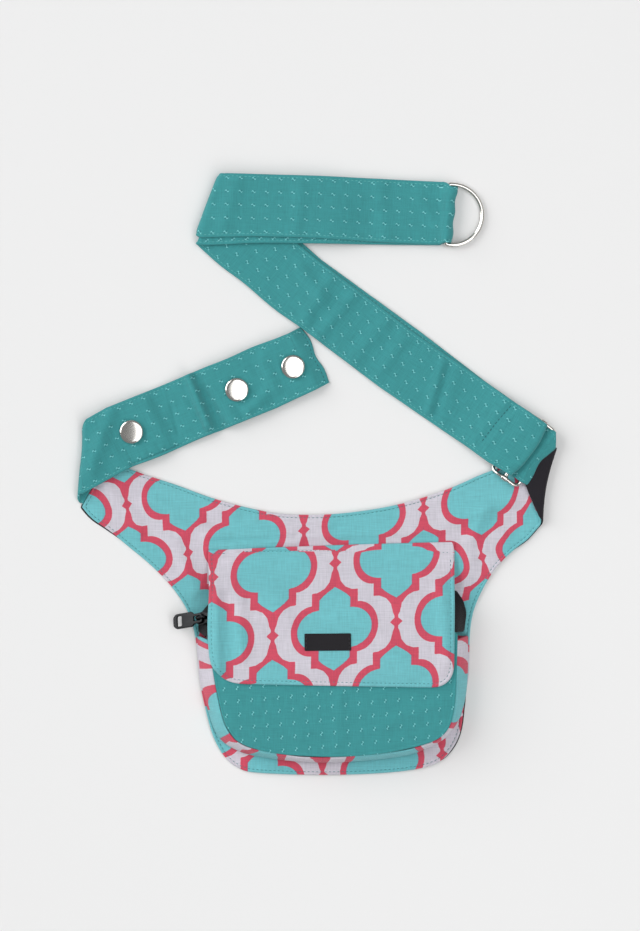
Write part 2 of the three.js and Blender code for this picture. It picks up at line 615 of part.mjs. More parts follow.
function flapHeight(x, y) {
  const over = faceHeight(x, Math.min(y, FACE_TOP_Y)) + FLAP_CLEARANCE;
  return lerp(FLAP_ROOT_Z, over, 1 - ease(y, FLAP_RISE.to, FLAP_RISE.from));
}

function flapOutline() {
  const { seamLeft, seamMiddle, seamRight, footRight, footLeft } = FLAP_CORNERS;
  const shape = new THREE.Shape();
  shape.moveTo(seamLeft.x, seamLeft.y);
  shape.quadraticCurveTo(seamMiddle.x, seamMiddle.y, seamRight.x, seamRight.y);
  shape.lineTo(footRight.x, footRight.y + footRight.radius);
  shape.quadraticCurveTo(footRight.x, footRight.y, footRight.x - footRight.radius, footRight.y);
  shape.lineTo(footLeft.x + footLeft.radius, footLeft.y);
  shape.quadraticCurveTo(footLeft.x, footLeft.y, footLeft.x, footLeft.y + footLeft.radius);
  shape.closePath();
  return shape;
}

function labelOutline() {
  const shape = new THREE.Shape();
  const corners = [[-1, -1], [1, -1], [1, 1], [-1, 1]].map(([right, up]) => new THREE.Vector2(
    LABEL.x + (right * LABEL.width) / 2,
    LABEL.y + (up * LABEL.height) / 2,
  ).rotateAround(new THREE.Vector2(LABEL.x, LABEL.y), radians(LABEL.tilt)));
  shape.setFromPoints(corners);
  return shape;
}

addPiece('flap', drapedCloth(flapOutline(), flapHeight, POCKET_CLOTH, DRAPE_STEP.flap), 'print');
const labelHeight = (x, y) => flapHeight(x, y) + (POCKET_CLOTH + LABEL.thickness) / 2 + GAP;
addPiece('label', drapedCloth(labelOutline(), labelHeight, LABEL.thickness, DRAPE_STEP.label), 'black');

// Belt: its stops near the buckle are placed along the belt's own heading

function alongHeading({ x, y }, distance, heading) {
  return { x: x + distance * Math.cos(heading), y: y + distance * Math.sin(heading) };
}

const beltStops = BELT_STOPS.map((stop) => (stop.along === undefined
  ? stop
  : { ...stop, ...alongHeading(BUCKLE, stop.along, radians(BUCKLE.heading)) }));
addPiece('belt_strap', clothWall(strapGrid(beltStops, BELT_MESH), WEBBING), 'teal');

// Slide buckle: a wire frame with arched sides, a centre bar and a knob at each of its ends

const pathPoints = (path, divisions) => path.getSpacedPoints(divisions).slice(0, -1);

function buckleGeometry() {
  const { length, wire, corner } = BUCKLE;
  const halfLong = length / 2 - wire;
  const halfShort = BAR_OFFSET;
  const path = new THREE.Path();
  path.moveTo(halfShort, -halfLong + corner);
  path.lineTo(halfShort, halfLong - corner);
  path.quadraticCurveTo(halfShort, halfLong, halfShort - corner, halfLong);
  path.lineTo(-halfShort + corner, halfLong);
  path.quadraticCurveTo(-halfShort, halfLong, -halfShort, halfLong - corner);
  path.lineTo(-halfShort, -halfLong + corner);
  path.quadraticCurveTo(-halfShort, -halfLong, -halfShort + corner, -halfLong);
  path.lineTo(halfShort - corner, -halfLong);
  path.quadraticCurveTo(halfShort, -halfLong, halfShort, -halfLong + corner);
  const arch = CENTRE_BAR_Z - BUCKLE_BAR_Z;
  const points = pathPoints(path, BUCKLE_STEPS).map(({ x, y }) => {
    const rise = arch * (1 - (x / halfShort) ** 2);
    return new THREE.Vector3(x, y, BUCKLE_BAR_Z + rise);
  });
  const frame = wireLoop(points, wire, new THREE.Vector3(0, 0, 1));
  const bar = new THREE.CylinderGeometry(wire, wire, 2 * halfLong, WIRE_SIDES);
  bar.translate(0, 0, CENTRE_BAR_Z);
  const knobs = [-1, 1].map((end) => {
    const knob = new THREE.CylinderGeometry(KNOB.radius, KNOB.radius, KNOB.length, KNOB.sides);
    return knob.rotateZ(Math.PI / 2).translate(0, end * halfLong, CENTRE_BAR_Z);
  });
  return joined(frame, bar, ...knobs);
}

const buckle = addPiece('slide_buckle', buckleGeometry(), 'nickel');
buckle.position.set(BUCKLE.x, BUCKLE.y, 0);
buckle.rotation.z = radians(BUCKLE.heading);

// Ring: a straight bar inside the belt's loop, two short arms and a half round

function ringGeometry() {
  const { radius, arm, corner, wire } = RING;
  const path = new THREE.Path();
  path.moveTo(0, -radius + corner);
  path.lineTo(0, radius - corner);
  path.quadraticCurveTo(0, radius, corner, radius);
  path.lineTo(arm, radius);
  path.absarc(arm, 0, radius, Math.PI / 2, -Math.PI / 2, true);
  path.lineTo(corner, -radius);
  path.quadraticCurveTo(0, -radius, 0, -radius + corner);
  const points = pathPoints(path, RING_STEPS).map(({ x, y }) => new THREE.Vector3(x, y, 0));
  return wireLoop(points, wire, new THREE.Vector3(0, 0, 1));
}

const ring = addPiece('d_ring', ringGeometry(), 'nickel');
ring.position.set(RING.x, RING.y, RING.z);
ring.rotation.set(0, radians(RING_TILT.pitch), radians(RING_TILT.yaw), 'ZYX');

// Short strap with a hole for each press stud

const snapHeading = headingBetween(STUD, END_SOCKET);
const snapStrapStops = SNAP_STRAP_STOPS.map((stop) => (stop.snap === undefined
  ? stop
  : { ...stop, ...alongHeading(stop.snap, stop.along, snapHeading) }));
const snapHoles = SNAPS.map(({ x, y }) => {
  const hole = new THREE.CylinderGeometry(SNAP.hole, SNAP.hole, PRISM_DEPTH, SNAP_SIDES);
  return hole.rotateX(Math.PI / 2).translate(x, y, 0);
});
const snapStrap = clothWall(strapGrid(snapStrapStops, SNAP_STRAP_MESH), WEBBING);
addPiece('snap_strap', cut(snapStrap, ...snapHoles), 'teal');

// Press studs: a domed cap over the strap, and a stud or a socket under it

function lathe(profile) {
  const points = profile.map(([radius, z]) => new THREE.Vector2(radius, z));
  return new THREE.LatheGeometry(points, SNAP_SIDES).rotateX(Math.PI / 2);
}

const capFoot = SNAP_STRAP_Z + WEBBING / 2 + GAP;
const backTop = SNAP_STRAP_Z - WEBBING / 2 - GAP;
const postFoot = backTop - POST_DEPTH;

const capProfile = [
  [0, postFoot],
  [SNAP.post, postFoot],
  [SNAP.post, capFoot],
  ...CAP_DOME.map(({ radius, rise }) => [SNAP.cap * radius, capFoot + SNAP.dome * rise]),
];
const socketProfile = [
  [0, backTop - SNAP.backHeight],
  [SNAP.back, backTop - SNAP.backHeight],
  [SNAP.back, backTop],
  [SNAP.hole, backTop],
  [SNAP.hole, postFoot - GAP],
  [0, postFoot - GAP],
];
const studProfile = [
  [0, backTop - SNAP.backHeight],
  [SNAP.tip, backTop - SNAP.backHeight],
  [SNAP.tip, backTop - SNAP.backHeight / 2],
  [SNAP.back, backTop - SNAP.backHeight / 2],
  [SNAP.back, backTop],
  [SNAP.hole, backTop],
  [SNAP.hole, postFoot - GAP],
  [0, postFoot - GAP],
];
const backProfiles = { stud: studProfile, socket: socketProfile };

SNAPS.forEach(({ x, y, back }, i) => {
  addPiece(`snap_cap_${i + 1}`, lathe(capProfile).translate(x, y, 0), 'nickel');
  addPiece(`snap_${back}_${i + 1}`, lathe(backProfiles[back]).translate(x, y, 0), 'nickel');
});

export default pouch;
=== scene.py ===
# %% [markdown]
# # A printed belt pouch, lying flat
# The pouch is a wide printed hip panel with a black lining. It carries a zipped box pocket under a flap.
# A long teal belt leaves its right wing, runs through a slide buckle and is doubled through a ring. A short
# teal strap with three press studs leaves its left wing.
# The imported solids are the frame, in metres. Cloth is easier to think of in millimetres, so the tables of its
# shapes are in millimetres, and the step that writes a mesh changes them to metres. Only the floor and the
# lamps are placed in metres.

# %% Load the frame
import math

import bmesh
import bpy
import numpy as np
from mathutils import Matrix, Vector, geometry, noise
from mathutils.bvhtree import BVHTree


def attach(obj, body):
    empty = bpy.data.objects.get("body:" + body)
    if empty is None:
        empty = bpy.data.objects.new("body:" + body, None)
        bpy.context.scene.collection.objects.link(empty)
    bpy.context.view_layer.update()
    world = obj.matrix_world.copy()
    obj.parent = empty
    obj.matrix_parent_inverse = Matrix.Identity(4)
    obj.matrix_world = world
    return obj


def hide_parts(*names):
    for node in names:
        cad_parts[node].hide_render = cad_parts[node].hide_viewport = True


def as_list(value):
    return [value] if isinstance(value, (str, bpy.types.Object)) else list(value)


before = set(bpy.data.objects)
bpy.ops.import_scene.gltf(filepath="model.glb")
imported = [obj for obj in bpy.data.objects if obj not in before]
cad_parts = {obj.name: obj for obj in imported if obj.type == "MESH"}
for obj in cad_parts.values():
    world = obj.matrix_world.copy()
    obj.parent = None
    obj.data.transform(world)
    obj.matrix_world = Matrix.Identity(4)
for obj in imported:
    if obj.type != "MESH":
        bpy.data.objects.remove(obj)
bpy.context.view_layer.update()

MM = 0.001

# %% [markdown]
# ## Camera
# The picture is taken from straight above. The teal strap is 40 mm wide and covers 62 pixels, so 1.55 pixels
# are one millimetre, and the pixel that sits over the frame's origin fixes the rest. A long lens keeps the
# pocket, which stands 20 mm nearer than the floor, from looking too large.

# %% Camera
IMAGE = (640, 931)
PIXELS_PER_MM = 1.55
ORIGIN_PIXEL = (317.5, 473.5)
LENS = 120.0
SENSOR = 36.0


def at_pixel(column, row):
    """The point in millimetres, on the floor, that a pixel of the picture shows."""
    return (column - ORIGIN_PIXEL[0]) / PIXELS_PER_MM, (ORIGIN_PIXEL[1] - row) / PIXELS_PER_MM


def to_mm(column_step, row_step):
    """A step between two pixels, in millimetres."""
    return column_step / PIXELS_PER_MM, -row_step / PIXELS_PER_MM


def added(name, data):
    """A new object in the scene."""
    item = bpy.data.objects.new(name, data)
    bpy.context.scene.collection.objects.link(item)
    return item


view_x, view_y = at_pixel(IMAGE[0] / 2, IMAGE[1] / 2)
distance = IMAGE[1] / PIXELS_PER_MM * LENS / SENSOR
camera_data = bpy.data.cameras.new("above")
camera_data.lens = LENS
camera_data.sensor_width = SENSOR
camera_data.dof.use_dof = False
camera_data.clip_end = 20
camera = added("above", camera_data)
camera.location = (view_x * MM, view_y * MM, distance * MM)
bpy.context.scene.camera = camera
print(f"camera {distance:.0f} mm above the floor, over {view_x:.1f}, {view_y:.1f}")

# %% [markdown]
# ## Floor and light
# The pouch lies on a pale sheet of paper under soft light. A broad lamp above, a little to the right, shows
# white in the flat metal caps. A larger one far off to the left shades the folds, and a third one fills in.
# The world is a dim grey, so that bent wire has something darker to mirror.

# %% Floor and light
FLOOR_SIZE = 6.0
PAPER = {"colour": (0.82, 0.82, 0.82, 1), "roughness": 0.9}
LAMPS = {
    "above": {"place": (0.70, 0.0, 2.5), "size": 2.0, "power": 26},
    "key": {"place": (-3.9, 1.9, 2.6), "size": 4.0, "power": 203},
    "fill": {"place": (1.6, -1.9, 2.2), "size": 1.8, "power": 26},
}
WORLD = {"Color": (1, 1, 1, 1), "Strength": 0.25}


def node_material(name):
    """A new material, its node tree and its main shader."""
    material = bpy.data.materials.new(name)
    material.use_nodes = True
    tree = material.node_tree
    shader = tree.nodes["Principled BSDF"]
    return material, tree, shader


floor_mesh = bpy.data.meshes.new("floor")
half_floor = FLOOR_SIZE / 2
floor_corners = [(x * half_floor, y * half_floor, 0) for x, y in ((-1, -1), (1, -1), (1, 1), (-1, 1))]
floor_mesh.from_pydata(floor_corners, [], [(0, 1, 2, 3)])
floor = added("floor", floor_mesh)
floor_material, _, floor_shader = node_material("pale_paper")
floor_shader.inputs["Base Color"].default_value = PAPER["colour"]
floor_shader.inputs["Roughness"].default_value = PAPER["roughness"]
floor_mesh.materials.append(floor_material)


def soft_lamp(name, place, size, power):
    """A square lamp that looks at the origin."""
    data = bpy.data.lights.new(name, "AREA")
    data.size = size
    data.energy = power
    lamp = added(name, data)
    lamp.location = place
    lamp.rotation_euler = (-Vector(place)).to_track_quat("-Z", "Y").to_euler()


for lamp_name, settings in LAMPS.items():
    soft_lamp(lamp_name, **settings)
world = bpy.data.worlds.new("pale_room")
world.use_nodes = True
for label, value in WORLD.items():
    world.node_tree.nodes["Background"].inputs[label].default_value = value
bpy.context.scene.world = world
bpy.context.scene.view_settings.view_transform = "Standard"

# %% [markdown]
# ## Node helpers
# Every finish is a small tree of nodes, which could be wired by hand in the shader editor. In code, helpers
# keep the trees short: one makes a maths node, one reads a value that the mesh carries, one draws a curve
# through a few points, and one darkens a colour by a grey. Plain numbers go straight onto the sockets.

# %% Node helpers
class Weaver:
    """Makes a material and the nodes in its tree."""

    def __init__(self, name):
        self.material, self.tree, self.shader = node_material(name)

    def finish(self, label, value):
        """Sets or links a socket of the main shader."""
        self.put(self.shader.inputs[label], value)

    def put(self, socket, value):
        """Sets a socket to a number or a colour, or links it to another node's output."""
        if isinstance(value, (int, float, tuple)):
            socket.default_value = value
        else:
            self.tree.links.new(value, socket)

    def math(self, operation, *values, clamp=False):
        node = self.tree.nodes.new("ShaderNodeMath")
        node.operation = operation
        node.use_clamp = clamp
        for socket, value in zip(node.inputs, values):
            self.put(socket, value)
        return node.outputs[0]

    def scaled(self, value, span, least, clamp=False):
        """A value from 0 to 1 spread over a span, from the least up."""
        return self.math("MULTIPLY_ADD", value, span, least, clamp=clamp)

    def carried(self, name):
        """The x and y of a vector that the mesh carries at each point, and the vector."""
        node = self.tree.nodes.new("ShaderNodeAttribute")
        node.attribute_name = name
        split = self.tree.nodes.new("ShaderNodeSeparateXYZ")
        self.tree.links.new(node.outputs["Vector"], split.inputs[0])
        return split.outputs[0], split.outputs[1], node.outputs["Vector"]

    def vector(self, x, y):
        node = self.tree.nodes.new("ShaderNodeCombineXYZ")
        for socket, value in zip(node.inputs, (x, y)):
            self.put(socket, value)
        return node.outputs[0]

    def noise(self, place, scale, detail):
        node = self.tree.nodes.new("ShaderNodeTexNoise")
        self.put(node.inputs["Vector"], place)
        node.inputs["Scale"].default_value = scale
        node.inputs["Detail"].default_value = detail
        return node.outputs["Fac"]

    def curve(self, value, points):
        """A value read off a curve whose points run from 0 to 1 both ways."""
        node = self.tree.nodes.new("ShaderNodeFloatCurve")
        line = node.mapping.curves[0]
        ends = [points[0], points[-1]]
        for point, place in zip(line.points, ends):
            point.location = place
        for place in points[1:-1]:
            line.points.new(*place)
        for point in line.points:
            point.handle_type = "VECTOR"
        node.mapping.update()
        self.put(node.inputs["Value"], value)
        return node.outputs[0]

    def mix(self, share, low, high):
        node = self.tree.nodes.new("ShaderNodeMix")
        node.data_type = "RGBA"
        self.put(node.inputs["Factor"], share)
        self.put(node.inputs["A"], low)
        self.put(node.inputs["B"], high)
        return node.outputs["Result"]

    def shaded(self, colour, shade):
        """A colour multiplied by a grey."""
        grey = self.tree.nodes.new("ShaderNodeCombineColor")
        for socket in grey.inputs:
            self.put(socket, shade)
        result = self.mix(1.0, colour, grey.outputs[0])
        result.node.blend_type = "MULTIPLY"
        return result

    def solid_place(self):
        """Each point's place in the solid, for wear on pieces that aren't cloth."""
        return self.tree.nodes.new("ShaderNodeTexCoord").outputs["Object"]

    def bump(self, height, depth):
        node = self.tree.nodes.new("ShaderNodeBump")
        node.inputs["Distance"].default_value = depth
        self.put(node.inputs["Height"], height)
        return node.outputs[0]


def srgb(red, green, blue):
    """A colour as seen, from 0 to 255, as the shader's linear colour."""
    shares = [v / 255 for v in (red, green, blue)]
    return (*[((v + 0.055) / 1.055) ** 2.4 if v > 0.04 else v / 12.92 for v in shares], 1.0)


def toned(colour, factor):
    """A colour made darker or lighter."""
    return (*[min(1, v * factor) for v in colour[:3]], 1)


print("teal as linear:", [round(v, 3) for v in srgb(70, 150, 150)])

# %% [markdown]
# ## Plain weave
# Each cloth here is a plain weave: threads that pass over and under, with thicker and thinner places that
# show as fine streaks. The mesh carries each point's place on the flat cloth, so the threads follow a strap
# round its folds. Waves of sine would be too even alone, so noise stretched along each thread breaks them up.

# %% Plain weave
THREAD_PITCH = 0.42
SLUB = {"scale": 1.3, "detail": 3}
SLUB_STRETCH = 14.0
SLUB_RELIEF = 1.2
CLOTH_ROUGHNESS = {"span": 0.2, "least": 0.72}
CLOTH_SOCKETS = {"Sheen Roughness": 0.5, "Specular IOR Level": 0.25}


def plain_weave(weaver):
    """Height of the weave and streaks of its threads, each about 0 to 1, from the carried cloth place."""
    across, along, place = weaver.carried("cloth")
    turn = 2 * math.pi / THREAD_PITCH
    over = weaver.math("SINE", weaver.math("MULTIPLY", across, turn))
    under = weaver.math("SINE", weaver.math("MULTIPLY", along, turn))
    height = weaver.math("MULTIPLY_ADD", weaver.math("MULTIPLY", over, under), 0.5, 0.5)
    long_warp = weaver.vector(across, weaver.math("DIVIDE", along, SLUB_STRETCH))
    long_weft = weaver.vector(weaver.math("DIVIDE", across, SLUB_STRETCH), along)
    warp, weft = (weaver.noise(stretched, **SLUB) for stretched in (long_warp, long_weft))
    streaks = weaver.math("MULTIPLY", weaver.math("ADD", warp, weft), 0.5)
    return height, streaks, place


def finish_cloth(weaver, colour, height, streaks, depth, sheen=0.15):
    """Sets colour, roughness, sheen and bump of a cloth. `depth` is the bump's, in millimetres."""
    weaver.finish("Base Color", colour)
    weaver.finish("Roughness", weaver.scaled(streaks, **CLOTH_ROUGHNESS))
    weaver.finish("Sheen Weight", sheen)
    for label, value in CLOTH_SOCKETS.items():
        weaver.finish(label, value)
    relief = weaver.math("MULTIPLY_ADD", streaks, SLUB_RELIEF, height)
    weaver.finish("Normal", weaver.bump(relief, depth * MM))


print("threads in a centimetre of cloth:", round(10 / THREAD_PITCH))

# %% [markdown]
# ## One cell of the trellis
# The cotton is printed with a trellis of four-lobed cells, an old pattern known from tiles and lattice. A
# cell is the same left and right, above and below, so two short curves are enough. They say how wide the
# turquoise cell and its coral band are at each height, with round lobes worked out as quarter circles.

# %% One cell of the trellis
REPEAT_WIDE = 79.0
REPEAT_TALL = 83.2
CELL_LOBE = {"height": 12.8, "neck": 10.0, "bulge": 13.9}
BAND_LOBE = {"height": 15.9, "neck": 14.7, "bulge": 13.2}
CELL_SHOULDER = 19.0
CELL_TIP = 26.5
BAND_STEP = 23.7
ARCH_MARKS = (0.33, 0.66, 1.0)
ARCH_POWER = 1.25
BAND_FOOT = [
    (23.9, 11.0), (26.0, 6.7), (28.0, 5.0), (30.1, 3.5),
    (35.6, 2.2), (37.6, 1.25), (39.0, 1.25), (41.6, 4.0),
]
BELOW_ZERO = 2.0
LOBE_STEPS = 14


def lobe(sizes):
    """Half width of a round lobe above and below a cell's middle, as height and half width."""
    rows = []
    for step in range(LOBE_STEPS + 1):
        height = sizes["height"] * math.sin(math.pi / 2 * step / LOBE_STEPS)
        share = math.sqrt(max(0.0, 1 - (height / sizes["height"]) ** 2))
        rows.append((height, sizes["neck"] + sizes["bulge"] * share))
    return rows


def cell_widths():
    """Half width of the turquoise cell at each height over its middle, below zero past its tip."""
    neck = CELL_LOBE["neck"]
    rise = CELL_TIP - CELL_SHOULDER
    arch = [(CELL_SHOULDER + rise * mark, neck * (1 - mark ** ARCH_POWER)) for mark in ARCH_MARKS]
    return [*lobe(CELL_LOBE), (CELL_SHOULDER, neck), *arch, (REPEAT_TALL / 2, -BELOW_ZERO)]


def band_widths():
    """Half width of the cell with its coral band."""
    return [*lobe(BAND_LOBE), (BAND_STEP, BAND_LOBE["neck"]), *BAND_FOOT]


print("widest half widths in mm:", cell_widths()[0][1], "for the cell,", band_widths()[0][1], "with its band")

# %% [markdown]
# ## Trellis print
# The cells sit in a half drop: each column is moved down by half a repeat. An image could be tiled that way,
# but nodes stay sharp at any size. The repeat is folded onto a quarter of itself, once for each of its two
# cells, and the curves then say how far inside the nearer cell a point lies. A thin dark line shows where
# the two inks overlap.

# %% Trellis print
PRINT_WOBBLE = 0.5
WOBBLE_NOISE = {"scale": 0.55, "detail": 3}
PRINT_CRISP = 4.0
OVERPRINT = {"narrow": 2.2, "strength": 0.55}
PRINT_SHADE = {"span": 0.72, "least": 0.62}
FADED_NOISE = {"scale": 3.0, "detail": 4}
FADED_SHADE = {"span": 0.12, "least": 0.95}
PRINT_WEAVE = 0.10
PRINT_COLOURS = {
    "cell": srgb(115, 194, 201),
    "band": srgb(211, 80, 102),
    "ground": srgb(211, 207, 217),
    "overlap": srgb(150, 62, 110),
}


def printed_cloth():
    weaver = Weaver("printed_cotton")
    height, streaks, place = plain_weave(weaver)
    right, down, spot = weaver.carried("print")
    wobble = weaver.scaled(weaver.noise(place, **WOBBLE_NOISE), PRINT_WOBBLE, -PRINT_WOBBLE / 2)
    wide = weaver.math("ADD", weaver.math("MULTIPLY", right, REPEAT_WIDE), wobble)
    tall = weaver.math("ADD", weaver.math("MULTIPLY", down, REPEAT_TALL), wobble)
    half_wide = REPEAT_WIDE / 2
    half_tall = REPEAT_TALL / 2
    first_wide = weaver.math("PINGPONG", wide, half_wide)
    first_tall = weaver.math("PINGPONG", tall, half_tall)
    second_wide = weaver.math("SUBTRACT", half_wide, first_wide)
    second_tall = weaver.math("SUBTRACT", half_tall, first_tall)

    def inside(widths):
        """How far inside the nearer cell's outline a point lies, in millimetres.

        A curve can't go below zero, so its widths are raised first and lowered again after it is read.
        """
        scaled = [(over / half_tall, (across + BELOW_ZERO) / half_wide) for over, across in widths]
        found = []
        for across, over in ((first_wide, first_tall), (second_wide, second_tall)):
            limit = weaver.curve(weaver.math("DIVIDE", over, half_tall), scaled)
            limit = weaver.math("MULTIPLY_ADD", limit, half_wide, -BELOW_ZERO)
            found.append(weaver.math("SUBTRACT", limit, across))
        return weaver.math("MAXIMUM", *found)

    to_cell = inside(cell_widths())
    to_band = inside(band_widths())
    cell = weaver.math("MULTIPLY_ADD", to_cell, PRINT_CRISP, 0.5, clamp=True)
    band = weaver.math("MULTIPLY_ADD", to_band, PRINT_CRISP, 0.5, clamp=True)
    off_line = weaver.math("MULTIPLY", weaver.math("ABSOLUTE", to_cell), OVERPRINT["narrow"])
    overlap = weaver.math("SUBTRACT", 1.0, off_line, clamp=True)
    colour = weaver.mix(band, PRINT_COLOURS["ground"], PRINT_COLOURS["band"])
    colour = weaver.mix(cell, colour, PRINT_COLOURS["cell"])
    overlap = weaver.math("MULTIPLY", overlap, OVERPRINT["strength"])
    colour = weaver.mix(overlap, colour, PRINT_COLOURS["overlap"])
    faded = weaver.scaled(weaver.noise(spot, **FADED_NOISE), **FADED_SHADE)
    shade = weaver.math("MULTIPLY", weaver.scaled(streaks, **PRINT_SHADE), faded)
    finish_cloth(weaver, weaver.shaded(colour, shade), height, streaks, PRINT_WEAVE)
    return weaver.material


PRINTED = printed_cloth()
print("print repeat in mm:", REPEAT_WIDE, REPEAT_TALL)

# %% [markdown]
# ## Teal cloth
# The teal cotton has small light ticks woven into it in rows, each like a little wave. The same cloth makes
# the straps, where the rows run along the strap, and the front of the pocket, where they are turned. A cell
# of the grid is folded to its own middle, and a tick is what lies near a sine line there. A darker wave that
# swings the other way lies under it. It is painted shade, standing for the shadow in the small hollow that
# the floating thread leaves beside it.

# %% Teal cloth
TICK_STEP = 8.5
TICK = {"length": 2.5, "swing": 0.58, "thread": 0.54, "crisp": 5.0, "raised": 1.6}
# Painted shade: a darker wave that swings against each tick, for the shadow in the hollow beside it.
PAINTED_SHADE_WAVE = {"swing": -1.3 * TICK["swing"], "strength": 0.6}
PATCHY_NOISE = {"scale": 0.9, "detail": 2}
PATCHY = {"span": 1.3, "least": 0.3}
TEAL_SHADE = {"span": 0.7, "least": 0.64}
TEAL_WEAVE = 0.11
TEAL = srgb(63, 152, 155)
TICK_COLOUR = srgb(140, 226, 229)
# The colour of the painted shade beside each tick.
PAINTED_TICK_SHADE = srgb(30, 104, 112)


def teal_cloth():
    weaver = Weaver("teal_cotton")
    height, streaks, place = plain_weave(weaver)
    along, across, _ = weaver.carried("ticks")

    def from_middle(value):
        """How far a point lies from the middle of its cell of the grid."""
        share = weaver.math("FRACT", weaver.math("DIVIDE", value, TICK_STEP))
        return weaver.math("MULTIPLY", weaver.math("SUBTRACT", share, 0.5), TICK_STEP)

    run = from_middle(along)
    side = from_middle(across)
    wave = weaver.math("SINE", weaver.math("MULTIPLY", run, 2 * math.pi / TICK["length"]))
    ends = weaver.math("SUBTRACT", TICK["length"] / 2, weaver.math("ABSOLUTE", run))
    patchy = weaver.scaled(weaver.noise(place, **PATCHY_NOISE), **PATCHY, clamp=True)

    def on_wave(swing):
        """How much of a point lies on the thread of a wave, from 0 to 1, with worn places."""
        off = weaver.math("ABSOLUTE", weaver.math("MULTIPLY_ADD", wave, swing, side))
        near = weaver.math("MINIMUM", weaver.math("SUBTRACT", TICK["thread"] / 2, off), ends)
        whole = weaver.math("MULTIPLY_ADD", near, TICK["crisp"], 0.5, clamp=True)
        return weaver.math("MULTIPLY", whole, patchy)

    tick = on_wave(TICK["swing"])
    # Painted shade in the hollow beside each tick, laid over the cloth's colour below.
    painted_shade = weaver.math("MULTIPLY", on_wave(PAINTED_SHADE_WAVE["swing"]), PAINTED_SHADE_WAVE["strength"])
    shade = weaver.scaled(streaks, **TEAL_SHADE)
    colour = weaver.mix(painted_shade, weaver.shaded(TEAL, shade), PAINTED_TICK_SHADE)
    colour = weaver.mix(tick, colour, TICK_COLOUR)
    raised = weaver.math("MULTIPLY_ADD", tick, TICK["raised"], height)
    finish_cloth(weaver, colour, raised, streaks, TEAL_WEAVE)
    return weaver.material


TEAL_CLOTH = teal_cloth()
print("ticks every", TICK_STEP, "mm")

# %% [markdown]
# ## Black cloth and thread
# The lining, zip tape and label are black weaves that differ in depth, so one function makes all three.
# Thread is twisted. Its turns would be too fine to see, so a fine noise roughens its colour and its surface.

# %% Black cloth and thread
BLACK_TONES = (0.6, 1.5)
BLACK_SHEEN = 0.08
TWIST = {"scale": 2600.0, "detail": 1}
TWIST_TONES = (0.7, 1.25)
TWIST_DEPTH = 0.08
THREAD_ROUGHNESS = 0.6


def black_cloth(name, colour, depth):
    """A black weave with threads darker and lighter than its colour."""
    weaver = Weaver(name)
    height, streaks, _ = plain_weave(weaver)
    tone = weaver.mix(streaks, *[toned(colour, factor) for factor in BLACK_TONES])
    finish_cloth(weaver, tone, height, streaks, depth, BLACK_SHEEN)
    return weaver.material


def thread(name, colour):
    """Twisted thread for stitches."""
    weaver = Weaver(name)
    twist = weaver.noise(weaver.solid_place(), **TWIST)
    weaver.finish("Base Color", weaver.mix(twist, *[toned(colour, factor) for factor in TWIST_TONES]))
    weaver.finish("Roughness", THREAD_ROUGHNESS)
    weaver.finish("Normal", weaver.bump(twist, TWIST_DEPTH * MM))
    return weaver.material


LINING_BLACK = black_cloth("black_lining", srgb(34, 31, 37), 0.10)
TAPE_BLACK = black_cloth("zip_tape_weave", srgb(28, 27, 30), 0.18)
LABEL_BLACK = black_cloth("label_satin", srgb(30, 28, 32), 0.05)
PRINT_THREAD = thread("dark_teal_thread", srgb(52, 122, 128))
STRAP_THREAD = thread("teal_thread", srgb(96, 184, 182))
DARK_THREAD = thread("deep_teal_thread", srgb(22, 92, 96))
BLACK_THREAD = thread("black_thread", srgb(36, 34, 38))
print("finishes so far:", len(bpy.data.materials))

# %% [markdown]
# ## Metal and nylon
# The fittings are nickel plate with faint wear and finger marks. The zip's slider and pull are gunmetal, a
# dark metal that is bright only where it mirrors a lamp, and its coil is black nylon. They differ only in
# colour, in roughness and in whether they are metal, so one function makes all three.

# %% Metal and nylon
MARKS = {"scale": 420.0, "detail": 3}
MARK_ROUGHNESS = 0.06
MARK_DEPTH = 0.0006
WEAR = {"scale": 90.0, "detail": 4}
WORN_TONE = 0.82


def plated(name, colour, rough, metallic=1.0):
    """A smooth hard finish with wear in its colour and finger marks in its roughness."""
    weaver = Weaver(name)
    place = weaver.solid_place()
    marks = weaver.noise(place, **MARKS)
    wear = weaver.noise(place, **WEAR)
    weaver.finish("Base Color", weaver.mix(wear, toned(colour, WORN_TONE), colour))
    weaver.finish("Roughness", weaver.scaled(marks, MARK_ROUGHNESS, rough))
    weaver.finish("Metallic", metallic)
    weaver.finish("Normal", weaver.bump(marks, MARK_DEPTH * MM))
    return weaver.material


NICKEL = plated("nickel_plate", (0.80, 0.78, 0.74, 1), 0.12)
GUNMETAL = plated("gunmetal_plate", (0.020, 0.0205, 0.0215, 1), 0.30)
NYLON = plated("black_nylon", (0.02, 0.02, 0.022, 1), 0.38, metallic=0.0)
print("finishes:", len(bpy.data.materials))

# %% [markdown]
# ## The outline of a panel
# A panel's flat cut could be drawn again by hand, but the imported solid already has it: it is the rim of the
# solid's upper side. An edge lies on that rim where a face that looks up meets one that stands. The edges are
# then joined end to end, and the longest chain is the outline.

# %% The outline of a panel
SAME_CORNER = 0.002
UPWARD = 0.4
UPRIGHT = 0.1


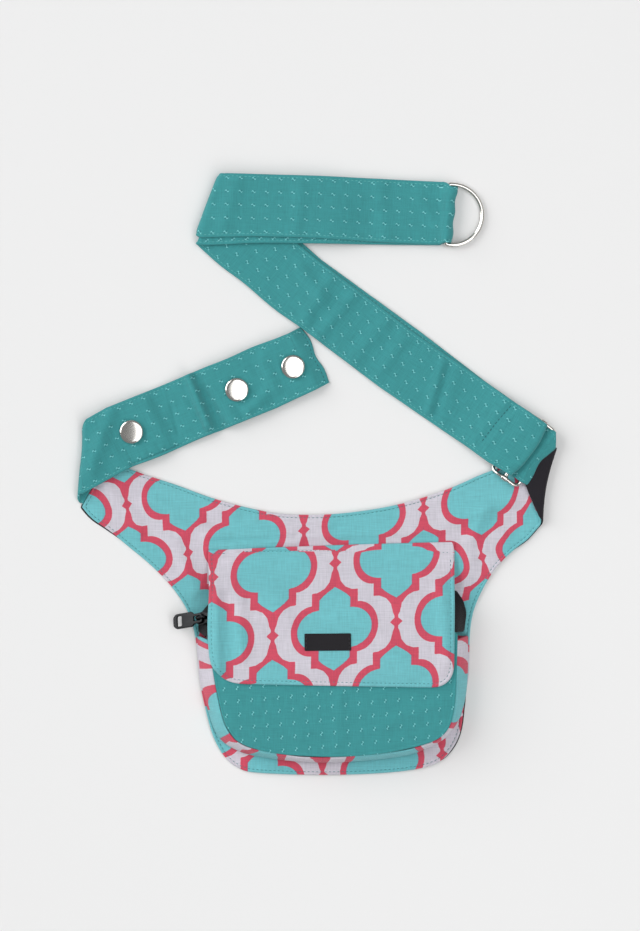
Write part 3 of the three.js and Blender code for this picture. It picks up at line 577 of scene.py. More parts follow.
def upper_rim(node, below=math.inf):
    """The longest rim of a solid's upper side, under a height, as points in order, in millimetres."""
    solid = bmesh.new()
    solid.from_mesh(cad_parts[node].data)
    bmesh.ops.remove_doubles(solid, verts=solid.verts, dist=SAME_CORNER * MM)
    solid.normal_update()
    beside = {}
    for edge in solid.edges:
        tilts = sorted(face.normal.z for face in edge.link_faces)
        if len(tilts) == 2 and tilts[1] > UPWARD and abs(tilts[0]) < UPRIGHT:
            if max(corner.co.z for corner in edge.verts) < below * MM:
                for here, there in (edge.verts, reversed(edge.verts)):
                    beside.setdefault(here, []).append(there)
    chains = []
    while beside:
        start = next((v for v, near in beside.items() if len(near) == 1), next(iter(beside)))
        chain = [start]
        while chain[-1] in beside:
            nearby = beside.pop(chain[-1])
            onward = [v for v in nearby if v in beside]
            if onward:
                chain.append(onward[0])
        chains.append(chain)
    points = np.array([v.co[:2] for v in max(chains, key=len)]) / MM
    solid.free()
    return points if signed_area(points) > 0 else points[::-1]


def signed_area(loop):
    """The area in an outline, below zero if the outline runs clockwise."""
    ahead = np.roll(loop, -1, axis=0)
    return 0.5 * float(np.sum(loop[:, 0] * ahead[:, 1] - loop[:, 1] * ahead[:, 0]))


flap_rim = upper_rim("flap")
print("flap rim points:", len(flap_rim), "area in cm2:", round(signed_area(flap_rim) / 100, 1))

# %% [markdown]
# ## An even outline
# The solid is faceted, and scissors cut a smooth line. So the outline is divided into even steps, and each
# point moves towards its neighbours a few times. A point where the line turns sharply is a true corner of the
# cut, and stays where it is.

# %% An even outline
CORNER_TURN = math.radians(42)
CORNER_REACH = 3
OUTLINE_STEP = 1.2


def run_along(line):
    """The way from a line's start to each of its points."""
    return np.concatenate([[0], np.cumsum(np.linalg.norm(np.diff(line, axis=0), axis=1))])


def spaced(points, step, closed=True):
    """A line's points at even steps."""
    line = np.vstack([points, points[:1]]) if closed else np.asarray(points, float)
    run = run_along(line)
    count = max(3, round(run[-1] / step))
    marks = np.linspace(0, run[-1], count + 1)
    marks = marks[:-1] if closed else marks
    return np.column_stack([np.interp(marks, run, line[:, axis]) for axis in range(line.shape[1])])


def evened(loop, step=OUTLINE_STEP, passes=6, closed=True):
    """An outline at even steps with its small facets smoothed away and its true corners kept."""
    points = spaced(loop, step, closed)
    back = points - np.roll(points, CORNER_REACH, axis=0)
    onward = np.roll(points, -CORNER_REACH, axis=0) - points
    sideways = back[:, 0] * onward[:, 1] - back[:, 1] * onward[:, 0]
    kept = np.abs(np.arctan2(sideways, np.sum(back * onward, axis=1))) > CORNER_TURN
    if not closed:
        kept[[0, -1]] = True
    for _ in range(passes):
        soft = (np.roll(points, 1, axis=0) + 2 * points + np.roll(points, -1, axis=0)) / 4
        points = np.where(kept[:, None], points, soft)
    return points


flap_line = evened(flap_rim)
print("flap outline points, evened:", len(flap_line))

# %% [markdown]
# ## Filling an outline with points
# A flat panel could be one large face, but then it couldn't bend. A few rings of points are drawn inside the
# outline, close together, because the hem is shaped there. The rest is filled with points in a honeycomb.
# Blender's own triangulation then joins all points to triangles of even shape.

# %% Filling an outline with points
TINY = 1e-9
HEM_RINGS = (0.12, 0.35, 0.7, 1.1, 1.5, 1.9, 2.3, 2.9, 3.7)
KEPT_DEPTH = 0.94
INNER_GAP = 0.6
KEEP_INSIDE = 1
SAME_POINT = 1e-5
BATCH = 1500


def distance_to(points, loop):
    """The distance of each point to an outline."""
    span = np.roll(loop, -1, axis=0) - loop
    length = np.maximum(np.sum(span ** 2, axis=1), TINY)
    found = []
    for first in range(0, len(points), BATCH):
        away = points[first:first + BATCH, None, :] - loop[None]
        share = np.clip(np.sum(away * span[None], axis=2) / length[None], 0, 1)
        found.append(np.linalg.norm(away - share[:, :, None] * span[None], axis=2).min(axis=1))
    return np.concatenate(found)


def inside_of(points, loop):
    """Whether each point lies in an outline."""
    found = np.zeros(len(points), bool)
    for here, there in zip(loop, np.roll(loop, -1, axis=0)):
        crosses = (here[1] > points[:, 1]) != (there[1] > points[:, 1])
        rise = there[1] - here[1] if there[1] != here[1] else TINY
        found ^= crosses & (points[:, 0] < (there[0] - here[0]) * (points[:, 1] - here[1]) / rise + here[0])
    return found


def moved_in(loop, depth):
    """An outline's points moved inwards, or outwards if the depth is below zero."""
    tangent = np.roll(loop, -1, axis=0) - np.roll(loop, 1, axis=0)
    tangent /= np.maximum(np.linalg.norm(tangent, axis=1), TINY)[:, None]
    return loop + depth * np.column_stack([-tangent[:, 1], tangent[:, 0]])


def inset(loop, depth):
    """An outline's points moved inwards, without those that would fold over at a corner."""
    moved = moved_in(loop, depth)
    return moved[distance_to(moved, loop) > KEPT_DEPTH * depth]


def honeycomb(loop, step, margin):
    """Points in a honeycomb that fill an outline, away from its edge."""
    low, high = loop.min(axis=0), loop.max(axis=0)
    rows = np.arange(low[1], high[1], step * math.sqrt(3) / 2)
    lines = []
    for number, y in enumerate(rows):
        x = np.arange(low[0] + (number % 2) * step / 2, high[0], step)
        lines.append(np.column_stack([x, np.full(len(x), y)]))
    points = np.vstack(lines)
    points = points[inside_of(points, loop)]
    return points[distance_to(points, loop) > margin]


def filled(loop, step, extra=None):
    """Points and triangles that fill an outline, and each point's distance to the edge."""
    parts = [loop, *(inset(loop, depth) for depth in HEM_RINGS)]
    parts.append(honeycomb(loop, step, HEM_RINGS[-1] + INNER_GAP * step))
    if extra is not None:
        parts.append(extra[inside_of(extra, loop)])
    points = [Vector(p) for p in np.vstack(parts)]
    edges = [(k, (k + 1) % len(loop)) for k in range(len(loop))]
    corners, _, triangles, *_ = geometry.delaunay_2d_cdt(points, edges, [], KEEP_INSIDE, SAME_POINT)
    flat = np.array([c[:] for c in corners])
    return flat, triangles, distance_to(flat, loop)


print("hem rings in each panel:", len(HEM_RINGS), "down to", HEM_RINGS[-1], "mm from the edge")

# %% [markdown]
# ## A closed sheet
# A sewn panel is two layers turned inside out, so its edge is round. It is one closed mesh: an upper and a
# lower side that meet in a shared edge. The half thickness grows like a quarter circle from the edge, which
# gives the turned edge its round look with no extra modifier. The mesh can carry each point's place on the
# flat cloth, on the print and among the ticks.

# %% A closed sheet
HEM_ROUND = 0.9
ON_EDGE = 1e-3


def half_thickness(to_edge, thickness):
    """Half the cloth's thickness near a round edge."""
    share = np.clip(to_edge / HEM_ROUND, 0, 1)
    return thickness / 2 * np.sqrt(1 - (1 - share) ** 2)


def write_mesh(name, points, faces, material, slot, body="pouch", **carried):
    """A piece from points in millimetres. Carried values are written on its points."""
    mesh = bpy.data.meshes.new(name)
    mesh.from_pydata([tuple(p) for p in np.asarray(points) * MM], [], faces)
    for label, values in carried.items():
        attribute = mesh.attributes.new(label, "FLOAT_VECTOR", "POINT")
        vectors = np.zeros((len(values), 3), np.float32)
        vectors[:, :2] = values
        attribute.data.foreach_set("vector", vectors.ravel())
    mesh.materials.append(material)
    mesh.shade_smooth()
    mesh.validate()
    piece = added(name, mesh)
    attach(piece, body)
    return piece


def facing_out(points, faces):
    """The faces, turned if they point inwards."""
    points = np.asarray(points)
    volume = 0.0
    for face in faces:
        a, b, c = points[face[0]], points[face[1]], points[face[2]]
        volume += float(np.dot(a, np.cross(b, c)))
    return faces if volume > 0 else [tuple(reversed(face)) for face in faces]


def two_sided(upper, lower, triangles, to_edge):
    """Points and faces of an upper and a lower side that share the points on the edge."""
    on_edge = to_edge < ON_EDGE
    count = len(upper)
    under = np.arange(count)
    under[~on_edge] = count + np.arange(int((~on_edge).sum()))
    points = np.vstack([upper, lower[~on_edge]])
    faces = [tuple(t) for t in triangles] + [tuple(int(under[v]) for v in reversed(t)) for t in triangles]
    return points, facing_out(points, faces), on_edge


print("an edge is round over", HEM_ROUND, "mm")

# %% [markdown]
# ## A sheet from an outline
# With the outline filled, a sheet only needs a height for its middle and a relief for its upper side. Cloth
# on a slope would look thin if it were thickened straight up, so the thickness grows with the slope. A
# panel's print needs a lay: where one cell of the trellis lies and which steps lead to the next ones.

# %% A sheet from an outline
def slopes(surface, x, y, step=0.2):
    """How steeply a surface rises along x and along y."""
    along_x = (surface(x + step, y) - surface(x - step, y)) / (2 * step)
    along_y = (surface(x, y + step) - surface(x, y - step)) / (2 * step)
    return along_x, along_y


def sewn_sheet(
    name, loop, middle, thickness, material, slot, step=2.0, relief=None, extra=None, bend=None, **lays
):
    """A sheet with an outline, a height for its middle and a relief on its upper side.

    `bend` moves the points after they have their height, and each of `lays` gives the values to carry.
    """
    flat, triangles, to_edge = filled(loop, step, extra)
    x, y = flat.T
    slope_x, slope_y = slopes(middle, x, y)
    half = half_thickness(to_edge, thickness) * np.sqrt(1 + slope_x ** 2 + slope_y ** 2)
    height = middle(x, y)
    raised = relief(x, y, to_edge) * np.clip(to_edge / HEM_ROUND, 0, 1) if relief else 0 * x
    upper = np.column_stack([x, y, height + half + raised])
    lower = np.column_stack([x, y, height - half])
    if bend:
        upper = bend(upper)
        lower = bend(lower)
    points, faces, on_edge = two_sided(upper, lower, triangles, to_edge)
    both = {label: np.vstack([lay(x, y), lay(x[~on_edge], y[~on_edge])]) for label, lay in lays.items()}
    piece = write_mesh(name, points, faces, material, slot, **both)
    print(f"{name}: {len(points)} points, {len(faces)} faces")
    return piece


def flat_cloth(x, y):
    """The cloth's own place is its plan, for a sheet that lies nearly flat."""
    return np.column_stack([x, y])


def print_lay(motif, across, down):
    """Where the print lies on a panel: a cell's middle and the steps to the next cell, in pixels."""
    middle = np.array(at_pixel(*motif))
    steps = np.linalg.inv(np.column_stack([to_mm(*across), to_mm(*down)]))
    return lambda x, y: (np.column_stack([x, y]) - middle) @ steps.T


FLAP_CELL = (334.3, 627.2)
HIP_PRINT = print_lay(motif=(303.9, 588.5), across=(119.4, -21.5), down=(0, 117))
FLAP_PRINT = print_lay(motif=FLAP_CELL, across=(122.4, -14.4), down=(-2, 129))
flap_cell_x, flap_cell_y = np.array([at_pixel(*FLAP_CELL)]).T
print("repeats from the back's cell to the flap's:", HIP_PRINT(flap_cell_x, flap_cell_y).round(2)[0])

# %% [markdown]
# ## Stitches
# A stitch is a short piece of thread that lies on the cloth and dips in at both ends. Real thread is better
# than painted dashes here, because it catches the light from every side. One function lays small spindles
# along a line, and each seam becomes one piece.

# %% Stitches
SPINDLE = [(-1.0, 0.0, -1.1), (-0.82, 0.75, -0.35), (0.0, 1.0, 0.1), (0.82, 0.75, -0.35), (1.0, 0.0, -1.1)]
SPINDLE_SIDES = 6
STITCH = {"length": 1.9, "gap": 0.85, "radius": 0.24}


def lay_stitches(line, normals):
    """Points and faces of the stitches along a line of points."""
    length, radius = STITCH["length"], STITCH["radius"]
    pitch = length + STITCH["gap"]
    run = run_along(line)
    points, faces = [], []

    def read_at(mark, values):
        return np.array([np.interp(mark, run, values[:, k]) for k in range(3)])

    for middle_mark in np.arange(pitch / 2, run[-1] - pitch / 2, pitch):
        start = read_at(middle_mark - length / 2, line)
        end = read_at(middle_mark + length / 2, line)
        centre = (start + end) / 2
        along = (end - start) / 2
        side = np.cross(read_at(middle_mark, normals), along)
        side /= max(np.linalg.norm(side), TINY)
        up = np.cross(along, side)
        up /= max(np.linalg.norm(up), TINY)
        base = len(points)
        for share, girth, lift in SPINDLE:
            hub = centre + share * along + lift * radius * up
            sides = 1 if girth == 0 else SPINDLE_SIDES
            for k in range(sides):
                turn = 2 * math.pi * k / SPINDLE_SIDES
                points.append(hub + girth * radius * (math.cos(turn) * side + math.sin(turn) * up))
        rings = [base + 1 + SPINDLE_SIDES * ring for ring in range(len(SPINDLE) - 2)]
        last = base + 1 + SPINDLE_SIDES * len(rings)
        for k in range(SPINDLE_SIDES):
            following = (k + 1) % SPINDLE_SIDES
            faces.append((base, rings[0] + following, rings[0] + k))
            for near, far in zip(rings, rings[1:]):
                faces.append((near + k, near + following, far + following, far + k))
            faces.append((last, rings[-1] + k, rings[-1] + following))
    return points, faces


def joined(parts):
    """Several lots of points and faces as one."""
    points, faces = [], []
    for more_points, more_faces in parts:
        faces += [tuple(v + len(points) for v in face) for face in more_faces]
        points += [tuple(p) for p in more_points]
    return np.array(points), faces


def seam(name, runs, material, slot):
    """One piece of thread from several runs, each a line and its normals."""
    points, faces = joined(lay_stitches(line, normals) for line, normals in runs)
    piece = write_mesh(name, points, faces, material, slot)
    print(f"{name}: {len(faces) // (SPINDLE_SIDES * (len(SPINDLE) - 1))} stitches")
    return piece


def on_top(plan, top):
    """A line in plan laid on a surface, with its normals."""
    x, y = plan.T
    slope_x, slope_y = slopes(top, x, y, step=0.3)
    return np.column_stack([x, y, top(x, y)]), np.column_stack([-slope_x, -slope_y, np.ones(len(x))])


print("stitches in 10 cm of seam:", round(100 / (STITCH["length"] + STITCH["gap"])))

# %% [markdown]
# ## Soft folds
# Cloth that has been worn lies in soft folds. A cloth simulation would make folds too, but it would put them
# where it likes. Here each fold is one row of a table: where it starts and ends in the picture, how wide it
# is and how high it stands, or how deep it lies. A second kind of row pulls a stretch of an edge in or out.

# %% Soft folds
def ease(value, low, high):
    """A soft step from 0 to 1 between two values."""
    share = np.clip((value - low) / (high - low), 0, 1)
    return share * share * (3 - 2 * share)


def groove_at(distance, middle, width):
    """A soft bump of height 1 across a line, for grooves and puffs."""
    return np.exp(-((distance - middle) / width) ** 2)


def hem_shape(distance, rows):
    """Puffs and grooves along an edge or a line. A row is a height, a distance from it and a width."""
    return sum(height * groove_at(distance, away, width) for height, away, width in rows)


def ripple(x, y, height, size, layer):
    """Soft unevenness up and down, with bumps of about a size. Each layer has other bumps."""
    return height * np.array([noise.noise(Vector((a / size, b / size, layer))) for a, b in zip(x, y)])


def ridges(x, y, rows):
    """Soft folds in cloth. A row is two ends as pixels, a width and a height in millimetres."""
    total = 0 * x
    for start, end, width, height in rows:
        a = np.array(at_pixel(*start))
        span = np.array(at_pixel(*end)) - a
        place = np.column_stack([x, y]) - a
        share = np.clip(place @ span / (span @ span), 0, 1)
        off = np.linalg.norm(place - share[:, None] * span, axis=1)
        total = total + height * groove_at(off, 0, width)
    return total


def nudged(points, rows):
    """Points moved softly in plan. A row is a place as a pixel, a reach and a move in millimetres."""
    moved = np.array(points)
    for place, reach, move in rows:
        away = np.linalg.norm(points[..., :2] - at_pixel(*place), axis=-1)
        moved[..., :2] += groove_at(away, 0, reach)[..., None] * np.array(move)
    return moved


print("a fold of width 4 mm has", round(float(groove_at(4.0, 0, 4.0)), 2), "of its height 4 mm away")

# %% [markdown]
# ## The turned wing end
# The back is two layers sewn together: black lining on the floor and printed cotton on top. The right wing's
# end is turned over. A fold could be bent with a bone or a lattice, but rolling is plain arithmetic: a point
# past the fold line goes round half a circle, and what is left of its way leads back over the panel.

# %% The turned wing end
FOLD_FOOT = np.array((142.4, -31.5))
FOLD_TOP = np.array((151.4, 16.5))
WING_SEAM = np.array(((134.3, -6.0), (151.2, 17.6)))
FOLD_BOW = 2.2
BOW_REACH = 25.0
FOOT_TRIM = 4.0
WING_FOLD_Z = 3.0
ROLL_ROWS = {"step": 0.45, "margin": 1.0}
FOLD_MARKS = np.arange(0.5, 46, 1.6)
fold_length = np.linalg.norm(FOLD_TOP - FOLD_FOOT)
fold_line = (FOLD_TOP - FOLD_FOOT) / fold_length
past_fold = np.array((fold_line[1], -fold_line[0]))


def wing_end(height):
    """The flat cut of the turned wing end and the roll that brings it over, for cloth at a height."""
    radius = WING_FOLD_Z - height
    lap = math.pi * radius
    seam_marks = []
    for corner in WING_SEAM:
        away = corner - FOLD_FOOT
        seam_marks.append(FOLD_FOOT + fold_line * (away @ fold_line) + past_fold * (lap - away @ past_fold))
    trimmed_foot = FOLD_FOOT + past_fold * lap + fold_line * FOOT_TRIM
    corners = [FOLD_FOOT, trimmed_foot, *seam_marks, FOLD_TOP]

    def roll(points):
        """The points, with those past the fold line brought over."""
        away = points[:, :2] - FOLD_FOOT
        past = away @ past_fold
        turn = np.clip(past / radius, 0, math.pi)
        arm = radius - (points[:, 2] - height)
        reach = np.where(past < 0, past, arm * np.sin(turn) - np.clip(past - lap, 0, None))
        rolled = np.array(points)
        up_line = np.clip(away @ fold_line / fold_length, 0, 1)
        bow = FOLD_BOW * np.sin(math.pi * up_line)
        reach = reach - bow * np.clip(1 + reach / BOW_REACH, 0, 1)
        rolled[:, :2] = FOLD_FOOT + np.outer(away @ fold_line, fold_line) + np.outer(reach, past_fold)
        rolled[:, 2] = np.where(past < 0, points[:, 2], height + radius - arm * np.cos(turn))
        return rolled

    roll_marks = np.arange(-ROLL_ROWS["margin"], lap + ROLL_ROWS["margin"], ROLL_ROWS["step"])
    close = [FOLD_FOOT + s * fold_line + t * past_fold for t in roll_marks for s in FOLD_MARKS]
    return np.array(corners), roll, np.array(close)


print("fold line in mm:", round(float(fold_length), 1))

# %% [markdown]
# ## The back's flat cut
# Both layers are cut longer at the turned end. Their flat cut is the lining's rim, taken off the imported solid
# where it lies on the floor, closed by the end as it is before it is turned. A few soft moves bring its edge
# to its place.

# %% The back's flat cut
LYING_BELOW = 1.1
WING_ROUND = 3.5
ROUND_PASSES = 6
WING_NUDGES = [
    ((530, 537), 8.0, (0.9, -1.2)),
    ((540, 524), 6.0, (1.2, -1.4)),
    ((469, 700), 15.0, (-1.4, 0.0)),
    ((93, 516), 11.0, (-1.3, -1.6)),
    ((180, 482), 18.0, (0.3, 0.9)),
]


back_rim = upper_rim("back_lining", below=LYING_BELOW)
back_rim[0] = FOLD_TOP


def wing_cut(height, grow):
    """The flat cut of the back, its roll and the close points along the fold. `grow` moves its edge out."""
    edge = evened(back_rim, closed=False)
    tangent = np.gradient(edge, axis=0)
    tangent /= np.linalg.norm(tangent, axis=1)[:, None]
    outward = np.column_stack([tangent[:, 1], -tangent[:, 0]])
    edge = edge + outward * np.reshape(grow(edge[:, 0], edge[:, 1]), (-1, 1))
    corners, roll, close = wing_end(height)
    end = spaced(corners, OUTLINE_STEP, closed=False)
    loop = nudged(np.vstack([edge, end[1:-1]]), WING_NUDGES)
    by_foot = np.linalg.norm(loop - FOLD_FOOT, axis=1) < WING_ROUND
    for _ in range(ROUND_PASSES):
        soft = (np.roll(loop, 1, axis=0) + np.roll(loop, -1, axis=0)) / 2
        loop = np.where(by_foot[:, None], soft, loop)
    return loop, roll, close


print("points of the lining's rim:", len(back_rim), "from", back_rim[0].round(1), "to", back_rim[-1].round(1))

# %% [markdown]
# ## Lining
# The lining is plain black cotton. It is cut like the printed panel, but at three places it shows beside it,
# because the two layers have shifted. So its edge lies half a millimetre inside the panel's, and soft ridges
# push it out where it peeks.

# %% Lining
LINING_Z = 0.5
LINING_CLOTH = 0.9
LINING_INSIDE = 0.5
LINING_PEEKS = [
    ((76, 508), (100, 536), 12, 1.9),
    ((452, 760), (464, 704), 9, 1.3),
    ((536, 530), (524, 545), 9, 1.1),
]


def lining_grow(x, y):
    """How far the lining's edge lies outside the printed panel's."""
    return ridges(x, y, LINING_PEEKS) - LINING_INSIDE


def level(height):
    """A function of a place that gives one height everywhere."""
    return lambda x, y: np.full(len(x), height)


lining_loop, lining_roll, lining_close = wing_cut(LINING_Z, grow=lining_grow)
lining = sewn_sheet(
    "lining", lining_loop, level(LINING_Z), LINING_CLOTH, LINING_BLACK, "black_cloth",
    step=3.0, extra=lining_close, bend=lining_roll, cloth=flat_cloth,
)
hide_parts("back_lining")

# %% [markdown]
# ## Hip panel
# The printed panel lies on the lining and takes the same roll at the right wing. Its edge is turned and
# topstitched, which pulls a groove into the cloth and leaves a small puff outside it. The trellis isn't quite
# straight on the real cloth, because it was eased while sewing, so small moves shift where it is read.

# %% Hip panel
HIP_Z = 1.8
PANEL_CLOTH = 1.0
TOPSTITCH = 2.0
HIP_HEM = [(0.3, 1.0, 0.6), (-0.3, TOPSTITCH, 0.5)]
HIP_PUCKER = {"height": 0.14, "size": 4.0, "layer": 3.0}
PUCKER_REACH = 5.0
HIP_RIPPLE = {"height": 0.3, "size": 14.0, "layer": 1.0}
WING_EASE = {"from": 112.0, "over": 30.0, "most": 1.4, "above": -60.0, "move": (4.5, -5.0)}
LOW_EASE = {"from": 150.0, "to": 175.0, "move": (-12.0, 7.6)}
CORNER_EASE = {"from": (75.0, -25.0), "over": (15.0, 18.0), "move": -3.2}
PRINT_NUDGES = [
    ((114, 520), 14.0, (-4.0, 1.5)),
    ((174, 562), 16.0, (-4.0, 1.5)),
    ((150, 482), 12.0, (2.0, 0.0)),
    ((466, 574), 12.0, (-3.6, 1.5)),
    ((491, 547), 9.0, (3.6, 0.0)),
]


def hip_print(x, y):
    """The print on the back, which was eased at the right wing and along the lower edge."""
    place = np.column_stack([x, y])
    wing = np.clip((x - WING_EASE["from"]) / WING_EASE["over"], 0, WING_EASE["most"])
    wing *= y > WING_EASE["above"]
    low = ease(-y, LOW_EASE["from"], LOW_EASE["to"])
    corner = np.clip((place - CORNER_EASE["from"]) / CORNER_EASE["over"], 0, 1).prod(axis=1)
    eased = nudged(place, PRINT_NUDGES) + np.outer(wing, WING_EASE["move"]) + np.outer(low, LOW_EASE["move"])
    return HIP_PRINT(eased[:, 0], eased[:, 1] + CORNER_EASE["move"] * corner)


HIP_FOLDS = [
    ((206, 537), (292, 534), 2.2, 2.8),
    ((208, 547), (300, 541), 2.0, 2.4),
    ((300, 536), (440, 531), 2.6, 1.9),
    ((236, 526), (330, 524), 2.8, 1.4),
    ((148, 500), (200, 520), 4.5, 2.2),
    ((450, 520), (512, 500), 5.0, 2.2),
    ((100, 478), (140, 530), 4.5, 2.0),
    ((486, 508), (470, 540), 4.5, 1.8),
    ((176, 545), (196, 590), 4.5, 1.6),
    ((470, 556), (462, 590), 4.5, 1.4),
]


def hip_relief(x, y, to_edge):
    """The panel's hem, the pucker along it, its folds and its unevenness."""
    hem = hem_shape(to_edge, HIP_HEM)
    pucker = ripple(x, y, **HIP_PUCKER) * groove_at(to_edge, 0, PUCKER_REACH)
    return hem + pucker + ridges(x, y, HIP_FOLDS) + ripple(x, y, **HIP_RIPPLE)


hip_loop, hip_roll, hip_close = wing_cut(HIP_Z, grow=level(0.0))
hip = sewn_sheet(
    "hip_cloth", hip_loop, level(HIP_Z), PANEL_CLOTH, PRINTED, "printed_cloth",
    relief=hip_relief, extra=hip_close, bend=hip_roll, cloth=flat_cloth, print=hip_print,
)
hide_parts("hip_panel")

# %% [markdown]
# ## Hip panel's stitches
# One line of thread runs round the panel, two millimetres inside its edge, and stops at the fold, where the
# turned end hides it. The line is the outline moved inwards, and each stitch sits on the panel's own relief.

# %% Hip panel's stitches
SEAM_STOP = 1.0


def opened(line):
    """A closed line's points, turned so that its widest gap lies at the ends."""
    gaps = np.linalg.norm(np.roll(line, -1, axis=0) - line, axis=1)
    return np.roll(line, -int(gaps.argmax()) - 1, axis=0)


def hip_top(x, y):
    """The height of the panel's upper side."""
    to_edge = distance_to(np.column_stack([x, y]), hip_loop)
    return HIP_Z + PANEL_CLOTH / 2 + hip_relief(x, y, to_edge)


hip_hem = inset(hip_loop, TOPSTITCH)
hip_hem = opened(hip_hem[(hip_hem - FOLD_FOOT) @ past_fold < -SEAM_STOP])
hip_seam = seam("hip_topstitch", [on_top(hip_hem, hip_top)], PRINT_THREAD, "printed_cloth")

# %% [markdown]
# ## Sheets on a grid
# Straps and the pocket's side wall are long strips, so they are made from a grid of points on the cloth's
# middle instead of an outline. The cloth's two sides lie half its thickness away from the grid, along its
# normals, so a strip keeps its thickness however it is bent.

# %% Sheets on a grid
def grid_edges(grid):
    """Each grid point's distance to the nearest border, along the grid's own lines."""
    found = np.full(grid.shape[:2], np.inf)
    for axis in (0, 1):
        steps = np.linalg.norm(np.diff(grid, axis=axis), axis=2)
        pad = [(0, 0), (0, 0)]
        pad[axis] = (1, 0)
        run = np.pad(np.cumsum(steps, axis=axis), pad)
        total = run.take([-1], axis=axis)
        found = np.minimum(found, np.minimum(run, total - run))
    return found


def grid_sides(grid, thickness, hem):
    """The upper and lower side of cloth on a grid, the border distance and the normals."""
    normal = np.cross(np.gradient(grid, axis=0), np.gradient(grid, axis=1))
    normal /= np.maximum(np.linalg.norm(normal, axis=2), TINY)[:, :, None]
    to_edge = grid_edges(grid)
    half = half_thickness(to_edge, thickness) + hem_shape(to_edge, hem) * np.clip(to_edge / HEM_ROUND, 0, 1)
    return grid + half[:, :, None] * normal, grid - half[:, :, None] * normal, to_edge, normal


def grid_sheet(name, grid, thickness, material, slot, hem=(), **carried):
    """A closed sheet on a grid, with rows for its hem. Each of `carried` is a value for every grid point."""
    upper, lower, to_edge, _ = grid_sides(grid, thickness, hem)
    rows, columns = grid.shape[:2]
    number = np.arange(rows * columns).reshape(rows, columns)
    corners = np.stack([number[:-1, :-1], number[1:, :-1], number[1:, 1:], number[:-1, 1:]], axis=2)
    quads = [tuple(int(v) for v in quad) for quad in corners.reshape(-1, 4)]
    flat_edge = to_edge.ravel()
    points, faces, on_edge = two_sided(upper.reshape(-1, 3), lower.reshape(-1, 3), quads, flat_edge)
    both = {}
    for label, values in carried.items():
        values = values.reshape(-1, 2)
        both[label] = np.vstack([values, values[~on_edge]])
    piece = write_mesh(name, points, faces, material, slot, **both)
    print(f"{name}: {len(points)} points, {len(faces)} faces")
    return piece


flat_strip = np.array([[(x, y, 0.0) for y in range(9)] for x in range(5)])
print("farthest from a border on a strip of 4 by 8 mm:", grid_edges(flat_strip).max(), "mm")

# %% [markdown]
# ## A strap from a table
# A strap lies in straight runs with folds between them. Each strap follows a table of lines across it, its
# stops. Between two stops the strap runs on, and at a fold it goes round a half circle, so it can pass over
# and under itself as the real one does. A curve with a modifier would twist at such sharp folds.

# %% A strap from a table
STRAP_WIDTH = 40.0


def stop(x, y, z, width=STRAP_WIDTH, **more):
    """A line across a strap: the place of its middle and its width.

    It may also have `cross`, the line's angle in degrees, `fold`, when the strap gets here round a half
    circle, and `bow`, how far the line's middle is pushed out.
    """
    return {"x": float(x), "y": float(y), "z": z, "width": width, **more}


def heading_between(here, there):
    """The angle of the way from one stop to another."""
    return math.atan2(there["y"] - here["y"], there["x"] - here["x"])


def cross_lines(stops):
    """A line across the strap at each stop: its middle, half its length as a vector, and the heading."""
    lines = []
    for i, mark in enumerate(stops):
        folds = mark.get("fold", False)
        folds_next = i + 1 < len(stops) and stops[i + 1].get("fold", False)
        before = stops[i - (2 if folds else 1)] if i else None
        after = stops[i + (2 if folds_next else 1)] if i + 1 < len(stops) else None
        came = heading_between(before, mark) if before else heading_between(mark, after)
        goes = heading_between(mark, after) if after else came
        if "cross" in mark:
            angle = math.radians(mark["cross"])
            slant = 1
        else:
            angle = (came + goes) / 2 + (0 if folds or folds_next else math.pi / 2)
            slant = abs(math.sin(angle - came))
        half = np.array((math.cos(angle), math.sin(angle), 0)) * mark["width"] / slant / 2
        if lines and half @ lines[-1]["half"] < 0:
            half = -half
        heading = np.array((math.cos(came), math.sin(came), 0))
        middle = np.array((mark["x"], mark["y"], mark["z"]), float)
        bow = np.array((*mark.get("bow", (0, 0)), 0), float)
        lines.append({"middle": middle, "half": half, "heading": heading, "fold": folds, "bow": bow})
    return lines


slanted = cross_lines([stop(0, 0, 0), stop(50, 0, 0), stop(100, 50, 0)])[1]["half"]
print("line across a strap that turns by 45 degrees, in mm:", round(2 * float(np.linalg.norm(slanted)), 1))

# %% [markdown]
# ## Rows along a strap
# Between two stops the strap is filled with rows of points. Their height eases from one stop to the next, and
# a fold's rows go round a half circle. Points stand close together at both edges, where the hem is. Each
# point keeps its place on the flat strap, which the weave and the ticks follow.

# %% Rows along a strap
FOLD_ROWS = 16
LEAST_ROWS = 4
ACROSS_MARKS = (
    0, 0.12, 0.35, 0.7, 1.1, 1.5, 1.9, 2.3, 2.8, 3.6, 5.0, 7.0, 9.0, 11.0, 13.0, 15.0, 17.0, 18.6,
)


